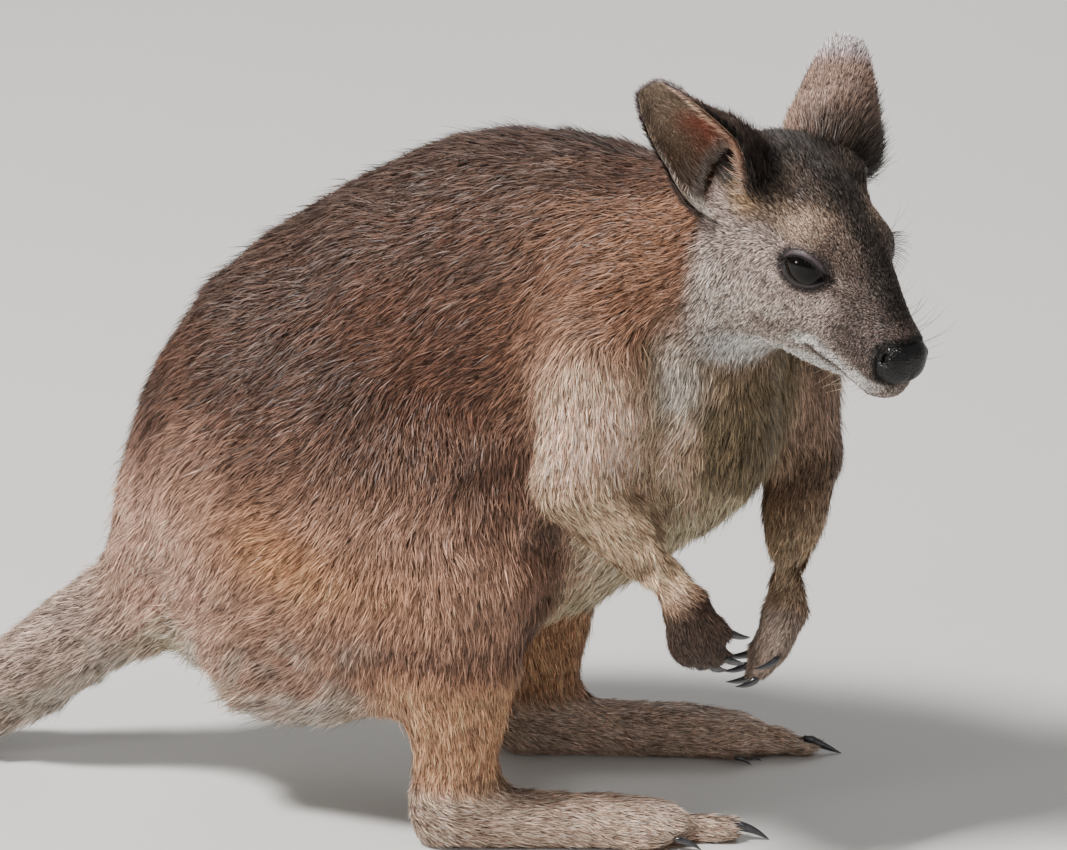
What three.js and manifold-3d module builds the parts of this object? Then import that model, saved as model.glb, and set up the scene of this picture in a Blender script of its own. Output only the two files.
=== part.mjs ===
// A parma wallaby, life size, as one still museum model: crouched on both hind feet and its
// tail, forequarters and head turned to its own right, forepaws hanging in front of the chest.
// Units are millimetres. +X runs from the rump to the toes, +Y is the animal's left, +Z is up.
// The body is one smooth distance field, out to the tips of the coat. It is meshed region by
// region and parted into named solids by thin cuts. Ears, eyes, nose pad and claws are solids
// of their own.
import * as THREE from "three";
import { mergeVertices } from "three/addons/utils/BufferGeometryUtils.js";
import Module from "manifold-3d";

const wasm = await Module();
wasm.setup();

// ---------------------------------------------------------------- driving dimensions
const GAP = 0.3; // clearance between neighbouring solids
const LEFT = 1;
const RIGHT = -1;

const EYE_RADIUS = 11.5;
const EAR_LENGTH = 63;
const EAR_HALF_WIDTH = 19;
const EAR_THICKNESS = 3.2;

const HEAD_AT = [184.5, -86, 285]; // midpoint between the eyes
const HEAD_YAW = -38; // degrees, negative is to the animal's right
const HEAD_PITCH = 13.5; // degrees, nose down
const HEAD_ROLL = 2.4; // degrees, left side down

const CELL = { trunk: 24, neck: 17, leg: 15, foot: 10.5, arm: 12.5, hand: 5.2, head: 8 };
const TAIL_CELLS = [17, 14, 11]; // base, middle, tip

// ---------------------------------------------------------------- small helpers
const vec = (a) => new THREE.Vector3(...a);
const radians = THREE.MathUtils.degToRad;
const lerp = THREE.MathUtils.lerp;
const clamp = THREE.MathUtils.clamp;
const mirrored = (a, side) => [a[0], a[1] * side, a[2]];

// One cross-section of a tube: its centre, its half width, and its reach above and below.
const ring = (x, y, z, side, up = side, down = up) => [x, y, z, side, up, down];

const catmull = (a, b, c, d, t) =>
  0.5 * (2 * b + (c - a) * t + (2 * a - 5 * b + 4 * c - d) * t * t + (3 * (b - c) + d - a) * t * t * t);

// Rings on a smooth curve through the given ones.
function refine(rings, steps) {
  const out = [];
  for (let i = 0; i < rings.length - 1; i++) {
    const a = rings[Math.max(i - 1, 0)];
    const d = rings[Math.min(i + 2, rings.length - 1)];
    for (let s = 0; s < steps; s++) {
      out.push(a.map((_, n) => catmull(a[n], rings[i][n], rings[i + 1][n], d[n], s / steps)));
    }
  }
  out.push(rings.at(-1));
  return out;
}

// Distance to a tube of oval sections, as a function of a point. `side` is the direction of the
// half width; without one, it is level and square to the tube.
function tube(rings, { steps = 4, side = null } = {}) {
  const fine = refine(rings, steps);
  const pieces = [];
  for (let i = 0; i < fine.length - 1; i++) {
    const a = vec(fine[i]);
    const along = vec(fine[i + 1]).sub(a);
    const length = along.length();
    const dir = along.clone().divideScalar(length);
    const flat = side ? vec(side) : new THREE.Vector3(0, 0, 1).cross(dir);
    flat.addScaledVector(dir, -flat.dot(dir)).normalize();
    const up = dir.clone().cross(flat);
    pieces.push({ a, dir, length, flat, up, r0: fine[i].slice(3), r1: fine[i + 1].slice(3) });
  }
  return (x, y, z) => {
    let nearest = Infinity;
    for (const { a, dir, length, flat, up, r0, r1 } of pieces) {
      const dx = x - a.x;
      const dy = y - a.y;
      const dz = z - a.z;
      const s = dx * dir.x + dy * dir.y + dz * dir.z;
      const t = clamp(s / length, 0, 1);
      const beyond = s - t * length;
      const f = dx * flat.x + dy * flat.y + dz * flat.z;
      const u = dx * up.x + dy * up.y + dz * up.z;
      const wide = lerp(r0[0], r1[0], t);
      const high = u > 0 ? lerp(r0[1], r1[1], t) : lerp(r0[2], r1[2], t);
      const least = Math.min(wide, high);
      const d = (Math.hypot(f / wide, u / high, beyond / least) - 1) * least;
      if (d < nearest) nearest = d;
    }
    return nearest;
  };
}

// An oval lump, its radii along the three axes.
const lump = ([cx, cy, cz], [rx, ry, rz]) => (x, y, z) =>
  (Math.hypot((x - cx) / rx, (y - cy) / ry, (z - cz) / rz) - 1) * Math.min(rx, ry, rz);

function smoothMin(a, b, k) {
  const h = Math.max(k - Math.abs(a - b), 0) / k;
  return Math.min(a, b) - (h * h * k) / 4;
}

// Joins fields with a fillet of about k.
const join = (k, ...fields) => (x, y, z) =>
  fields.reduce((d, f) => smoothMin(d, f(x, y, z), k), Infinity);

// Takes the second field out of the first, with a fillet of about k.
const hollow = (k, field, taken) => (x, y, z) => -smoothMin(-field(x, y, z), taken(x, y, z), k);

// ---------------------------------------------------------------- head, in its own frame
// Local axes: x to the nose, y to the left, z up, origin midway between the eyes.
const headTurn = new THREE.Quaternion().setFromEuler(
  new THREE.Euler(radians(-HEAD_ROLL), radians(HEAD_PITCH), radians(HEAD_YAW), "ZYX"),
);
const headBack = headTurn.clone().invert();
const fromHead = (a) => vec(a).applyQuaternion(headTurn).add(vec(HEAD_AT));
const headDirection = (a) => vec(a).applyQuaternion(headTurn);

const EYE_AT = (side) => [1.5, 15 * side, 2.6];

// [x, top, bottom, half width] of the head from the nose to the back of the skull
const HEAD_PROFILE = [
  [49.5, -12, -33, 8],
  [43.5, -7.5, -42, 10.5],
  [34, -1, -44.5, 12.5],
  [24, 6.5, -47, 16],
  [10, 15, -50.5, 21.5],
  [-6, 24, -52, 27],
  [-22, 30.5, -51, 30],
  [-38, 33, -45, 31],
  [-52, 29, -30, 27],
];

function headField() {
  const skull = tube(
    HEAD_PROFILE.map(([x, top, bottom, half]) => {
      const middle = lerp(bottom, top, 0.52);
      return ring(x, 0, middle, half, top - middle, middle - bottom);
    }),
    { side: [0, 1, 0] },
  );
  const paired = (side) => [
    lump([-17, 18 * side, -20], [22, 12.5, 18]), // cheek muscle
    lump([-0.5, 16.5 * side, 10], [13, 8.5, 6.5]), // brow over the eye
    lump([37, 7.5 * side, -23], [16, 7.5, 12]), // upper lip and whisker pad
    lump([-43, 19 * side, 17], [12, 11, 14]), // root of the ear
    lump([-27, 24 * side, 21], [11, 8, 10]), // fur before the ear
  ];
  const head = join(
    7,
    skull,
    lump([47, 0, -21.5], [9, 8.5, 9]),
    lump([38.5, 0, -37], [9, 8, 8]), // chin
    ...paired(LEFT),
    ...paired(RIGHT),
  );
  const hollows = [LEFT, RIGHT].map((side) => lump([17, 21 * side, -2], [10, 5, 8]));
  const shaped = hollow(6, hollow(6, head, hollows[0]), hollows[1]);
  return (x, y, z) => {
    const p = new THREE.Vector3(x, y, z).sub(vec(HEAD_AT));
    const far = p.length();
    if (far > 130) return far - 90;
    p.applyQuaternion(headBack);
    return shaped(p.x, p.y, p.z);
  };
}

// ---------------------------------------------------------------- trunk, neck and tail
const TRUNK = [
  ring(-94, 0, 116, 48, 54, 76),
  ring(-52, 0, 150, 60, 88, 96),
  ring(-2, -3, 188, 61, 93, 116),
  ring(46, -15, 220, 55, 90, 113),
  ring(88, -34, 240, 50, 73, 100),
  ring(116, -53, 248, 37, 47, 84),
];
const NECK = [
  ring(98, -40, 250, 44, 42, 46),
  ring(126, -53, 272, 34, 37, 33),
  ring(150, -61, 296, 26, 30, 20),
];

// The tail leaves the rump slanting down, meets the floor and lies along it in one lazy bend.
const TAIL_ROOT_RADIUS = 26;
const TAIL_TIP_RADIUS = 7;
const TAIL_LIE = 2.5; // how far its underside is pressed flat
const TAIL_PATH = [
  [-108, 0, 92, 0.0],
  [-150, 1, 66, 0.12],
  [-190, 5, 33, 0.23],
  [-228, 12, null, 0.32],
  [-300, 26, null, 0.48],
  [-380, 30, null, 0.66],
  [-455, 20, null, 0.84],
  [-518, -4, null, 1.0],
];
const tailRadius = (t) => lerp(TAIL_ROOT_RADIUS, TAIL_TIP_RADIUS, t ** 0.8);
const TAIL = TAIL_PATH.map(([x, y, z, t]) => {
  const r = tailRadius(t);
  return ring(x, y, z ?? r - TAIL_LIE, r);
});

// ---------------------------------------------------------------- hind legs
const FOOT_SHIFT = { [LEFT]: 11, [RIGHT]: 0 }; // one foot stands a little ahead
const FOOT_SPREAD = { [LEFT]: 58, [RIGHT]: 54 };
const FOOT_TURN = 12; // degrees, both feet point to the animal's left
const ANKLE_X = 14;

// A leg ring set out from the ankle of its own foot. Ahead of the ankle, it follows the foot's turn.
const legRing = (side, x, outward, z, ...radii) => {
  const ahead = Math.max(x - ANKLE_X, 0) * (z < 30 ? 1 : 0);
  const y = side * (FOOT_SPREAD[side] + outward) + ahead * Math.tan(radians(FOOT_TURN));
  return ring(x + FOOT_SHIFT[side], y, z, ...radii);
};

const thighRings = (side) => [
  ring(-76, side * 30, 132, 40, 70, 92),
  ring(-38, side * 37, 136, 44, 82, 93),
  legRing(side, 2, -12, 132, 42, 72, 76),
  legRing(side, 24, -1, 124, 30, 42, 52),
];
const shankRings = (side) => [
  legRing(side, 23, 5, 116, 27, 30, 33),
  legRing(side, 21, 4, 80, 23, 25, 27),
  legRing(side, 18, 1, 46, 17.5, 20, 20),
  legRing(side, 15, 0, 24, 15, 19, 16),
];
const footRings = (side) => [
  legRing(side, 10, 0, 13, 12, 12, 16.5),
  legRing(side, 40, 0, 12.5, 12, 12, 15.5),
  legRing(side, 76, -1, 11, 13.5, 11.5, 14),
  legRing(side, 101, -2, 9, 14, 9.5, 12),
];

// [start x, end x, start outward, end outward, radius, claw length]: the long fourth toe, the
// fifth outside it, and the joined second and third inside it
const TOES = {
  fourth: [98, 130, -2.5, -3.5, 7.6, 15],
  fifth: [86, 110, 7.5, 9, 5.4, 9],
  third: [92, 107, -12, -12.5, 3.7, 6],
  second: [90, 104, -17.5, -18, 3.5, 6],
};
const toeRings = (side, [x0, x1, out0, out1, r]) => [
  legRing(side, x0, out0, r, r * 1.1, r * 1.1, r + 2.5),
  legRing(side, x1, out1, r * 0.86, r, r * 0.8, r + 1.5),
];

// ---------------------------------------------------------------- arms
const ARM = {
  [RIGHT]: {
    shoulder: [92, -72, 240],
    elbow: [75, -89, 180],
    wrist: [123, -95, 134],
    along: [0.3, -0.05, -0.95],
    across: [0.93, -0.2, 0.3],
    palm: [-0.25, 0.95, 0],
    spread: 0.55,
  },
  [LEFT]: {
    shoulder: [136, -4, 236],
    elbow: [152, 8, 164],
    wrist: [157, -45, 115],
    along: [-0.28, -0.12, -0.95],
    across: [0.45, -0.88, 0.1],
    palm: [-0.8, -0.2, 0.35],
    spread: 0.5,
  },
};
const PALM_LENGTH = 17;

const between = (a, b, t) => a.map((v, i) => lerp(v, b[i], t));
const upperArmRings = ({ shoulder, elbow }) => [
  ring(...shoulder, 33, 36, 36),
  ring(...between(shoulder, elbow, 0.5), 25, 28, 28),
  ring(...elbow, 17, 19, 19),
];
const forearmRings = ({ elbow, wrist }) => [
  ring(...elbow, 17, 18, 18),
  ring(...between(elbow, wrist, 0.35), 14, 15, 15),
  ring(...between(elbow, wrist, 0.75), 10, 10.5, 10.5),
  ring(...wrist, 8.8, 9, 9),
];

// The hand's own axes: towards the fingers, across them to the thumb, and out of the palm.
function handFrame(side) {
  const { along, across, palm } = ARM[side];
  const a = vec(along).normalize();
  const c = vec(across);
  c.addScaledVector(a, -c.dot(a)).normalize();
  const p = a.clone().cross(c);
  if (p.dot(vec(palm)) < 0) p.negate();
  return { a, c, p };
}
const inHand = (side, forward, sideways, deep) => {
  const { a, c, p } = handFrame(side);
  return vec(ARM[side].wrist).addScaledVector(a, forward).addScaledVector(c, sideways).addScaledVector(p, deep);
};

// [sideways at the palm, length, sideways at the tip, curl] of the five fingers
const FINGERS = {
  thumb: [8.5, 9, 15, 3],
  index: [5, 15, 9.5, 5],
  middle: [0.5, 17, 1.5, 6],
  ring: [-4, 15.5, -5.5, 6],
  little: [-8, 12, -12, 5],
};
const FINGER_RADIUS = 3.8;
const CLAW_LENGTH = 11;

function fingerPath(side, [root, length, tip, curl]) {
  const start = PALM_LENGTH * (length < 10 ? 0.55 : 0.85);
  return [
    inHand(side, start, root, 0),
    inHand(side, start + length * 0.6, lerp(root, tip, 0.65), curl * 0.25),
    inHand(side, start + length, tip, curl),
  ];
}
const handField = (side) =>
  join(
    3.5,
    tube([
      ring(...ARM[side].wrist, 8.8, 8.8),
      ring(...inHand(side, PALM_LENGTH * 0.55, 0, 0), 11, 8),
      ring(...inHand(side, PALM_LENGTH, 0, 0.5), 11, 7),
    ], { side: handFrame(side).c.toArray() }),
    ...Object.values(FINGERS).map((f) =>
      tube(fingerPath(side, f).map((p, i) => ring(...p, FINGER_RADIUS * (1.1 - 0.1 * i))), { steps: 2 })),
  );

// ---------------------------------------------------------------- the whole body
const thighField = (side) => tube(thighRings(side));
const upperArmField = (side) => tube(upperArmRings(ARM[side]), { side: [0, 1, 0] });
const legField = (side) =>
  join(
    12,
    thighField(side),
    tube(shankRings(side), { side: [0, 1, 0] }),
    join(3, tube(footRings(side)), ...Object.values(TOES).map((t) => tube(toeRings(side, t), { steps: 2 }))),
  );
const armField = (side) =>
  join(
    5,
    upperArmField(side),
    tube(forearmRings(ARM[side]), { side: [0, 1, 0] }),
    handField(side),
  );
const BREAST = lump([119, -42, 196], [32, 30, 38]);
const core = join(22, tube(TRUNK), tube(NECK), tube(TAIL), BREAST);
const legs = [legField(LEFT), legField(RIGHT)];
const arms = [armField(LEFT), armField(RIGHT)];
const head = headField();

const whole = (legParts, armParts) => (x, y, z) => {
  let d = smoothMin(core(x, y, z), head(x, y, z), 14);
  for (const leg of legParts) d = smoothMin(d, leg(x, y, z), 10);
  for (const arm of armParts) d = smoothMin(d, arm(x, y, z), 9);
  return d;
};
const body = whole(legs, arms);
const torso = whole([thighField(LEFT), thighField(RIGHT)], [upperArmField(LEFT), upperArmField(RIGHT)]);

// ---------------------------------------------------------------- field to mesh
const CORNERS = [0, 1, 2, 3, 4, 5, 6, 7].map((n) => [n & 1, (n >> 1) & 1, (n >> 2) & 1]);

// Groups of inside corners of one cell that share cell edges. Each gets a vertex of its own.
function cornerGroups(inside) {
  const group = new Array(8).fill(-1);
  let count = 0;
  for (let n = 0; n < 8; n++) {
    if (!inside[n] || group[n] >= 0) continue;
    const stack = [n];
    group[n] = count;
    while (stack.length) {
      const m = stack.pop();
      for (const bit of [1, 2, 4]) {
        const o = m ^ bit;
        if (inside[o] && group[o] < 0) {
          group[o] = count;
          stack.push(o);
        }
      }
    }
    count++;
  }
  return { group, count };
}

// Fills in grid faces whose inside corners touch only across the diagonal, so that every edge
// of the mesh has two sides.
function untangle(values, n, cell) {
  const step = [1, n[0], n[0] * n[1]];
  let changed = true;
  while (changed) {
    changed = false;
    for (let a = 0; a < values.length - step[1] - step[2]; a++)
      for (const [u, w] of [[0, 1], [1, 2], [0, 2]]) {
        const [b, c, d] = [a + step[u], a + step[u] + step[w], a + step[w]];
        const inside = values[a] < 0;
        if (values[c] < 0 !== inside || values[b] < 0 === inside || values[d] < 0 === inside) continue;
        const [e, f] = inside ? [b, d] : [a, c];
        values[values[e] < values[f] ? e : f] = -0.01 * cell;
        changed = true;
      }
  }
}

// Meshes a field inside a box, closed at the box's walls, with cells of one size.
function meshField(field, low, high, cell) {
  const n = low.map((l, i) => Math.ceil((high[i] - l) / cell) + 3);
  const at = (i, j, k) => i + n[0] * (j + n[1] * k);
  const place = (i, axis) => low[axis] + (i - 1) * cell;
  const values = new Float64Array(n[0] * n[1] * n[2]).fill(cell);
  for (let k = 1; k < n[2] - 1; k++)
    for (let j = 1; j < n[1] - 1; j++)
      for (let i = 1; i < n[0] - 1; i++)
        values[at(i, j, k)] = field(place(i, 0), place(j, 1), place(k, 2)) || 1e-6;

  untangle(values, n, cell);

  const positions = [];
  const vertexOf = new Map(); // cell -> the vertex of each corner
  for (let k = 0; k < n[2] - 1; k++)
    for (let j = 0; j < n[1] - 1; j++)
      for (let i = 0; i < n[0] - 1; i++) {
        const v = CORNERS.map(([a, b, c]) => values[at(i + a, j + b, k + c)]);
        const inside = v.map((d) => d < 0);
        if (inside.every((b) => b) || !inside.some((b) => b)) continue;
        const { group, count } = cornerGroups(inside);
        const sums = Array.from({ length: count }, () => [0, 0, 0, 0]);
        for (let a = 0; a < 8; a++) {
          if (!inside[a]) continue;
          for (const bit of [1, 2, 4]) {
            const b = a ^ bit;
            if (inside[b]) continue;
            const t = v[a] / (v[a] - v[b]);
            const sum = sums[group[a]];
            for (let x = 0; x < 3; x++) sum[x] += lerp(CORNERS[a][x], CORNERS[b][x], t);
            sum[3]++;
          }
        }
        const first = positions.length / 3;
        for (const [x, y, z, w] of sums)
          positions.push(place(i + x / w, 0), place(j + y / w, 1), place(k + z / w, 2));
        vertexOf.set(at(i, j, k), group.map((g) => (g < 0 ? -1 : first + g)));
      }

  const triangles = [];
  const step = [1, n[0], n[0] * n[1]];
  const apart = (a, b) =>
    Math.hypot(...[0, 1, 2].map((x) => positions[3 * a + x] - positions[3 * b + x]));
  for (let k = 0; k < n[2] - 1; k++)
    for (let j = 0; j < n[1] - 1; j++)
      for (let i = 0; i < n[0] - 1; i++)
        for (let axis = 0; axis < 3; axis++) {
          const here = at(i, j, k);
          const inHere = values[here] < 0;
          if (inHere === values[here + step[axis]] < 0) continue;
          const u = (axis + 1) % 3;
          const w = (axis + 2) % 3;
          // The four cells round this edge, and the corner of each where the inside end lies.
          const quad = [[1, 1], [0, 1], [0, 0], [1, 0]].map(([du, dw]) => {
            const corner = (du << u) | (dw << w) | ((inHere ? 0 : 1) << axis);
            return vertexOf.get(here - du * step[u] - dw * step[w])[corner];
          });
          if (!inHere) quad.reverse();
          const [a, b, c, d] = quad;
          if (apart(a, c) < apart(b, d)) triangles.push(a, b, c, a, c, d);
          else triangles.push(b, c, d, b, d, a);
        }

  const geometry = new THREE.BufferGeometry();
  geometry.setAttribute("position", new THREE.Float32BufferAttribute(settle(field, positions, cell), 3));
  geometry.setIndex(triangles);
  return geometry;
}

// Moves each vertex on to the field's surface, by at most half a cell.
function settle(field, positions, cell) {
  const h = cell * 0.05;
  for (let i = 0; i < positions.length; i += 3) {
    const start = positions.slice(i, i + 3);
    let p = [...start];
    for (let pass = 0; pass < 3; pass++) {
      const d = field(...p);
      const slope = [0, 1, 2].map((x) => {
        const q = [...p];
        q[x] += h;
        return (field(...q) - d) / h;
      });
      const steep = slope.reduce((s, g) => s + g * g, 1e-9);
      p = p.map((v, x) => clamp(v - (d * slope[x]) / steep, start[x] - cell / 2, start[x] + cell / 2));
    }
    for (let x = 0; x < 3; x++) positions[i + x] = p[x];
  }
  return positions;
}

// ---------------------------------------------------------------- solids
function solid(geometry, closed = false) {
  const bare = new THREE.BufferGeometry().setAttribute("position", geometry.getAttribute("position"));
  bare.setIndex(geometry.index);
  const merged = closed ? bare : mergeVertices(bare, 1e-4);
  return new wasm.Manifold(
    new wasm.Mesh({
      numProp: 3,
      vertProperties: new Float32Array(merged.attributes.position.array),
      triVerts: new Uint32Array(merged.index.array),
    }),
  );
}

// The half space in front of a plane, as a large block.
function ahead(point, normal) {
  const reach = 1400;
  const block = new THREE.BoxGeometry(reach, reach, reach).translate(0, 0, reach / 2);
  const turn = new THREE.Quaternion().setFromUnitVectors(new THREE.Vector3(0, 0, 1), vec(normal).normalize());
  block.applyQuaternion(turn).translate(...point);
  return solid(block);
}

// A cone frustum between two points, to part a limb with.
function frustum(from, to, radiusFrom, radiusTo, segments = 12) {
  const a = vec(from);
  const along = vec(to).sub(a);
  const shape = new THREE.CylinderGeometry(radiusTo, radiusFrom, along.length(), segments);
  shape.translate(0, along.length() / 2, 0);
  shape.applyQuaternion(
    new THREE.Quaternion().setFromUnitVectors(new THREE.Vector3(0, 1, 0), along.clone().normalize()),
  );
  return solid(shape.translate(a.x, a.y, a.z));
}

const shifted = (point, normal, distance) => vec(point).addScaledVector(vec(normal).normalize(), distance).toArray();

// Where one piece ends and the next begins: a plane, with the gap split between the two.
const cut = (point, normal) => ({
  front: ahead(shifted(point, normal, GAP / 2), normal),
  back: ahead(shifted(point, normal, -GAP / 2), normal.map((v) => -v)),
});

// The body's mesh inside a box, at a cell size, standing on the floor.
const FLOOR = ahead([0, 0, 0], [0, 0, 1]);
const flesh = (low, high, cell, field = body) =>
  solid(meshField(field, low, high, cell), true).intersect(FLOOR);

// The same flesh with the gap round it, to cut a neighbour back with.
const fleshAndGap = (low, high, cell, field = body) =>
  flesh(low, high, cell, field).add(flesh(low, high, cell, (x, y, z) => field(x, y, z) - GAP));

// The largest of the bodies that a cut leaves.
const main = (s) => s.decompose().sort((a, b) => b.volume() - a.volume())[0];

function ear(side, { out, open }) {
  const rows = 7;
  const columns = 6;
  const root = vec([-42, 25 * side, 17]);
  const up = vec(mirrored(out, side)).normalize();
  const forward = vec(mirrored(open, side));
  forward.addScaledVector(up, -forward.dot(up)).normalize();
  const across = up.clone().cross(forward);
  // t runs from the root to the tip, s from edge to edge
  const surface = (t, s, depth) => {
    const width = EAR_HALF_WIDTH * Math.sqrt(1 - ((t - 0.38) / 0.64) ** 2) * lerp(1, 0.7, t);
    const wrap = lerp(2.3, 0.75, Math.min(t / 0.75, 1)); // half angle of the cup
    const radius = Math.max(width, 3.2) / Math.min(Math.sin(Math.min(wrap, Math.PI / 2)), 1);
    const angle = s * wrap;
    const r = radius + depth;
    const rim = Math.cos(Math.min(wrap, Math.PI / 2)) * radius;
    return root
      .clone()
      .addScaledVector(up, t * EAR_LENGTH)
      .addScaledVector(across, Math.sin(angle) * r)
      .addScaledVector(forward, rim - Math.cos(angle) * r + 2 - 7 * t * t);
  };
  const half = EAR_THICKNESS / 2;
  const grid = (depth) => {
    const points = [];
    for (let i = 0; i <= rows; i++)
      for (let j = 0; j <= columns; j++) {
        const edge = Math.abs((2 * j) / columns - 1) === 1 || i === rows ? 0.35 : 1;
        points.push(surface(0.985 * (i / rows), (2 * j) / columns - 1, depth * edge));
      }
    return points;
  };
  const points = [...grid(half), ...grid(-half)].map((p) => fromHead(p.toArray()));
  const id = (i, j, inner) => (inner ? (rows + 1) * (columns + 1) : 0) + i * (columns + 1) + j;
  const faces = [];
  const quad = (a, b, c, d) => faces.push(a, b, c, a, c, d);
  for (let i = 0; i < rows; i++)
    for (let j = 0; j < columns; j++) {
      quad(id(i, j, 0), id(i, j + 1, 0), id(i + 1, j + 1, 0), id(i + 1, j, 0));
      quad(id(i, j, 1), id(i + 1, j, 1), id(i + 1, j + 1, 1), id(i, j + 1, 1));
    }
  for (let i = 0; i < rows; i++) {
    quad(id(i, 0, 1), id(i, 0, 0), id(i + 1, 0, 0), id(i + 1, 0, 1));
    quad(id(i, columns, 0), id(i, columns, 1), id(i + 1, columns, 1), id(i + 1, columns, 0));
  }
  for (let j = 0; j < columns; j++) {
    quad(id(0, j, 0), id(0, j, 1), id(0, j + 1, 1), id(0, j + 1, 0));
    quad(id(rows, j, 1), id(rows, j, 0), id(rows, j + 1, 0), id(rows, j + 1, 1));
  }
  const geometry = new THREE.BufferGeometry().setFromPoints(points).setIndex(faces);
  const made = solid(geometry);
  if (made.volume() > 0) return made;
  return solid(geometry.setIndex(faces.reverse()));
}

// A curved claw from a fingertip: a cone bent towards `curl`.
function claw(at, direction, curl, length, radius) {
  const sides = 5;
  const steps = 3;
  const d = vec(direction).normalize();
  const c = vec(curl);
  c.addScaledVector(d, -c.dot(d)).normalize();
  const side = d.clone().cross(c);
  const points = [];
  for (let i = 0; i < steps; i++) {
    const t = i / steps;
    const bend = t * 0.9;
    const middle = vec(at)
      .addScaledVector(d, (Math.sin(bend) / 0.9) * length)
      .addScaledVector(c, ((1 - Math.cos(bend)) / 0.9) * length);
    const normal = c.clone().multiplyScalar(Math.cos(bend)).addScaledVector(d, -Math.sin(bend));
    const r = radius * (1 - t) ** 0.7;
    for (let s = 0; s < sides; s++) {
      const angle = (2 * Math.PI * s) / sides;
      points.push(
        middle.clone().addScaledVector(side, 0.75 * r * Math.cos(angle)).addScaledVector(normal, r * Math.sin(angle)),
      );
    }
  }
  points.push(vec(at));
  points.push(
    vec(at).addScaledVector(d, (Math.sin(0.9) / 0.9) * length).addScaledVector(c, ((1 - Math.cos(0.9)) / 0.9) * length),
  );
  const faces = [];
  for (let i = 0; i < steps - 1; i++)
    for (let s = 0; s < sides; s++) {
      const n = (s + 1) % sides;
      const [a, b, e, f] = [i * sides + s, i * sides + n, (i + 1) * sides + n, (i + 1) * sides + s];
      faces.push(a, b, e, a, e, f);
    }
  const foot = steps * sides;
  for (let s = 0; s < sides; s++) {
    const n = (s + 1) % sides;
    faces.push(foot, n, s);
    faces.push(foot + 1, (steps - 1) * sides + s, (steps - 1) * sides + n);
  }
  const geometry = new THREE.BufferGeometry().setFromPoints(points).setIndex(faces);
  const made = solid(geometry);
  if (made.volume() > 0) return made;
  return solid(geometry.setIndex(faces.reverse()));
}

// ---------------------------------------------------------------- parting the body
const pieces = new Map(); // name -> [solid, material]

const HEAD_BOX = [[118, -190, 215], [272, -10, 345]];
const NECK_BOX = [[20, -130, 200], [190, 20, 350]];
// The head is what lies ahead of one plane, at the back of the skull, and above another, under
// the jaw.
const HEAD_PLANES = [
  [[-45, 0, 0], [0.97, 0, 0.24]],
  [[0, 0, -55], [0, 0, 1]],
];
const headRegion = (grow) => {
  const [skull, jaw] = HEAD_PLANES.map(([at, normal]) => {
    const n = headDirection(normal).toArray();
    return ahead(shifted(fromHead(at).toArray(), n, -grow), n);
  });
  return skull.intersect(jaw);
};
const neckCut = cut([122, -51, 268], [0.74, -0.37, 0.57]);
const rumpCut = cut([-134, 0, 78], [0.82, 0, 0.57]);

function makeEars(socket) {
  const ears = {
    [RIGHT]: ear(RIGHT, { out: [-0.3, 0.67, 0.68], open: [0.7, 0.63, -0.31] }),
    [LEFT]: ear(LEFT, { out: [-0.62, 0.62, 0.48], open: [-0.14, 0.52, -0.84] }),
  };
  for (const side of [LEFT, RIGHT]) ears[side] = main(ears[side].subtract(socket));
  return ears;
}

function eyeball(side, grow = 0) {
  const ball = new THREE.SphereGeometry(EYE_RADIUS + grow, 12, 8);
  return solid(ball.translate(...fromHead(EYE_AT(side))));
}

function nosePad(grow = 0) {
  const pad = new THREE.SphereGeometry(1, 12, 8).scale(12 + grow, 11.5 + grow, 11 + grow);
  pad.translate(53, 0, -21.5).applyQuaternion(headTurn);
  return solid(pad.translate(...HEAD_AT));
}

function makeHead() {
  let skull = flesh(...HEAD_BOX, CELL.head).intersect(headRegion(-GAP / 2));
  const nose = main(skull.intersect(nosePad()));
  skull = skull.subtract(nosePad(GAP));
  for (const side of [LEFT, RIGHT]) skull = skull.subtract(eyeball(side, GAP));
  skull = main(skull);
  const socket = fleshAndGap(...HEAD_BOX, CELL.head).add(fleshAndGap(...NECK_BOX, CELL.neck, torso));
  const ears = makeEars(socket);
  for (const side of [LEFT, RIGHT]) {
    const name = side === LEFT ? "left" : "right";
    pieces.set(`ear_${name}`, [ears[side], "ear"]);
    pieces.set(`eye_${name}`, [eyeball(side), "eye"]);
  }
  pieces.set("head", [skull, "face_fur"]);
  pieces.set("nose", [nose, "nose"]);
}

function makeTail() {
  const rings = refine(TAIL, 4);
  const cutAt = (t) => {
    const i = Math.round(t * (rings.length - 1));
    const to = vec(rings[i + 1]).sub(vec(rings[i - 1])).normalize();
    return cut(rings[i].slice(0, 3), to.toArray());
  };
  const low = [-560, -50, -6];
  const high = [-118, 70, 125];
  const [base, middle, tip] = TAIL_CELLS.map((cell) => flesh(low, high, cell));
  const [first, second] = [cutAt(0.45), cutAt(0.72)];
  pieces.set("tail_base", [main(base.intersect(rumpCut.back).intersect(first.back)), "tail_fur"]);
  pieces.set("tail_middle", [main(middle.intersect(first.front).intersect(second.back)), "tail_fur"]);
  pieces.set("tail_tip", [main(tip.intersect(second.front)), "tail_fur"]);
}

// Tools that part the limbs from the trunk. Each is a pair: the limb's own, and a larger one
// that leaves the gap.
const tools = [];
const partedFrom = (limbs, piece) => limbs.reduce((rest, limb) => rest.subtract(limb), piece);

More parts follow.
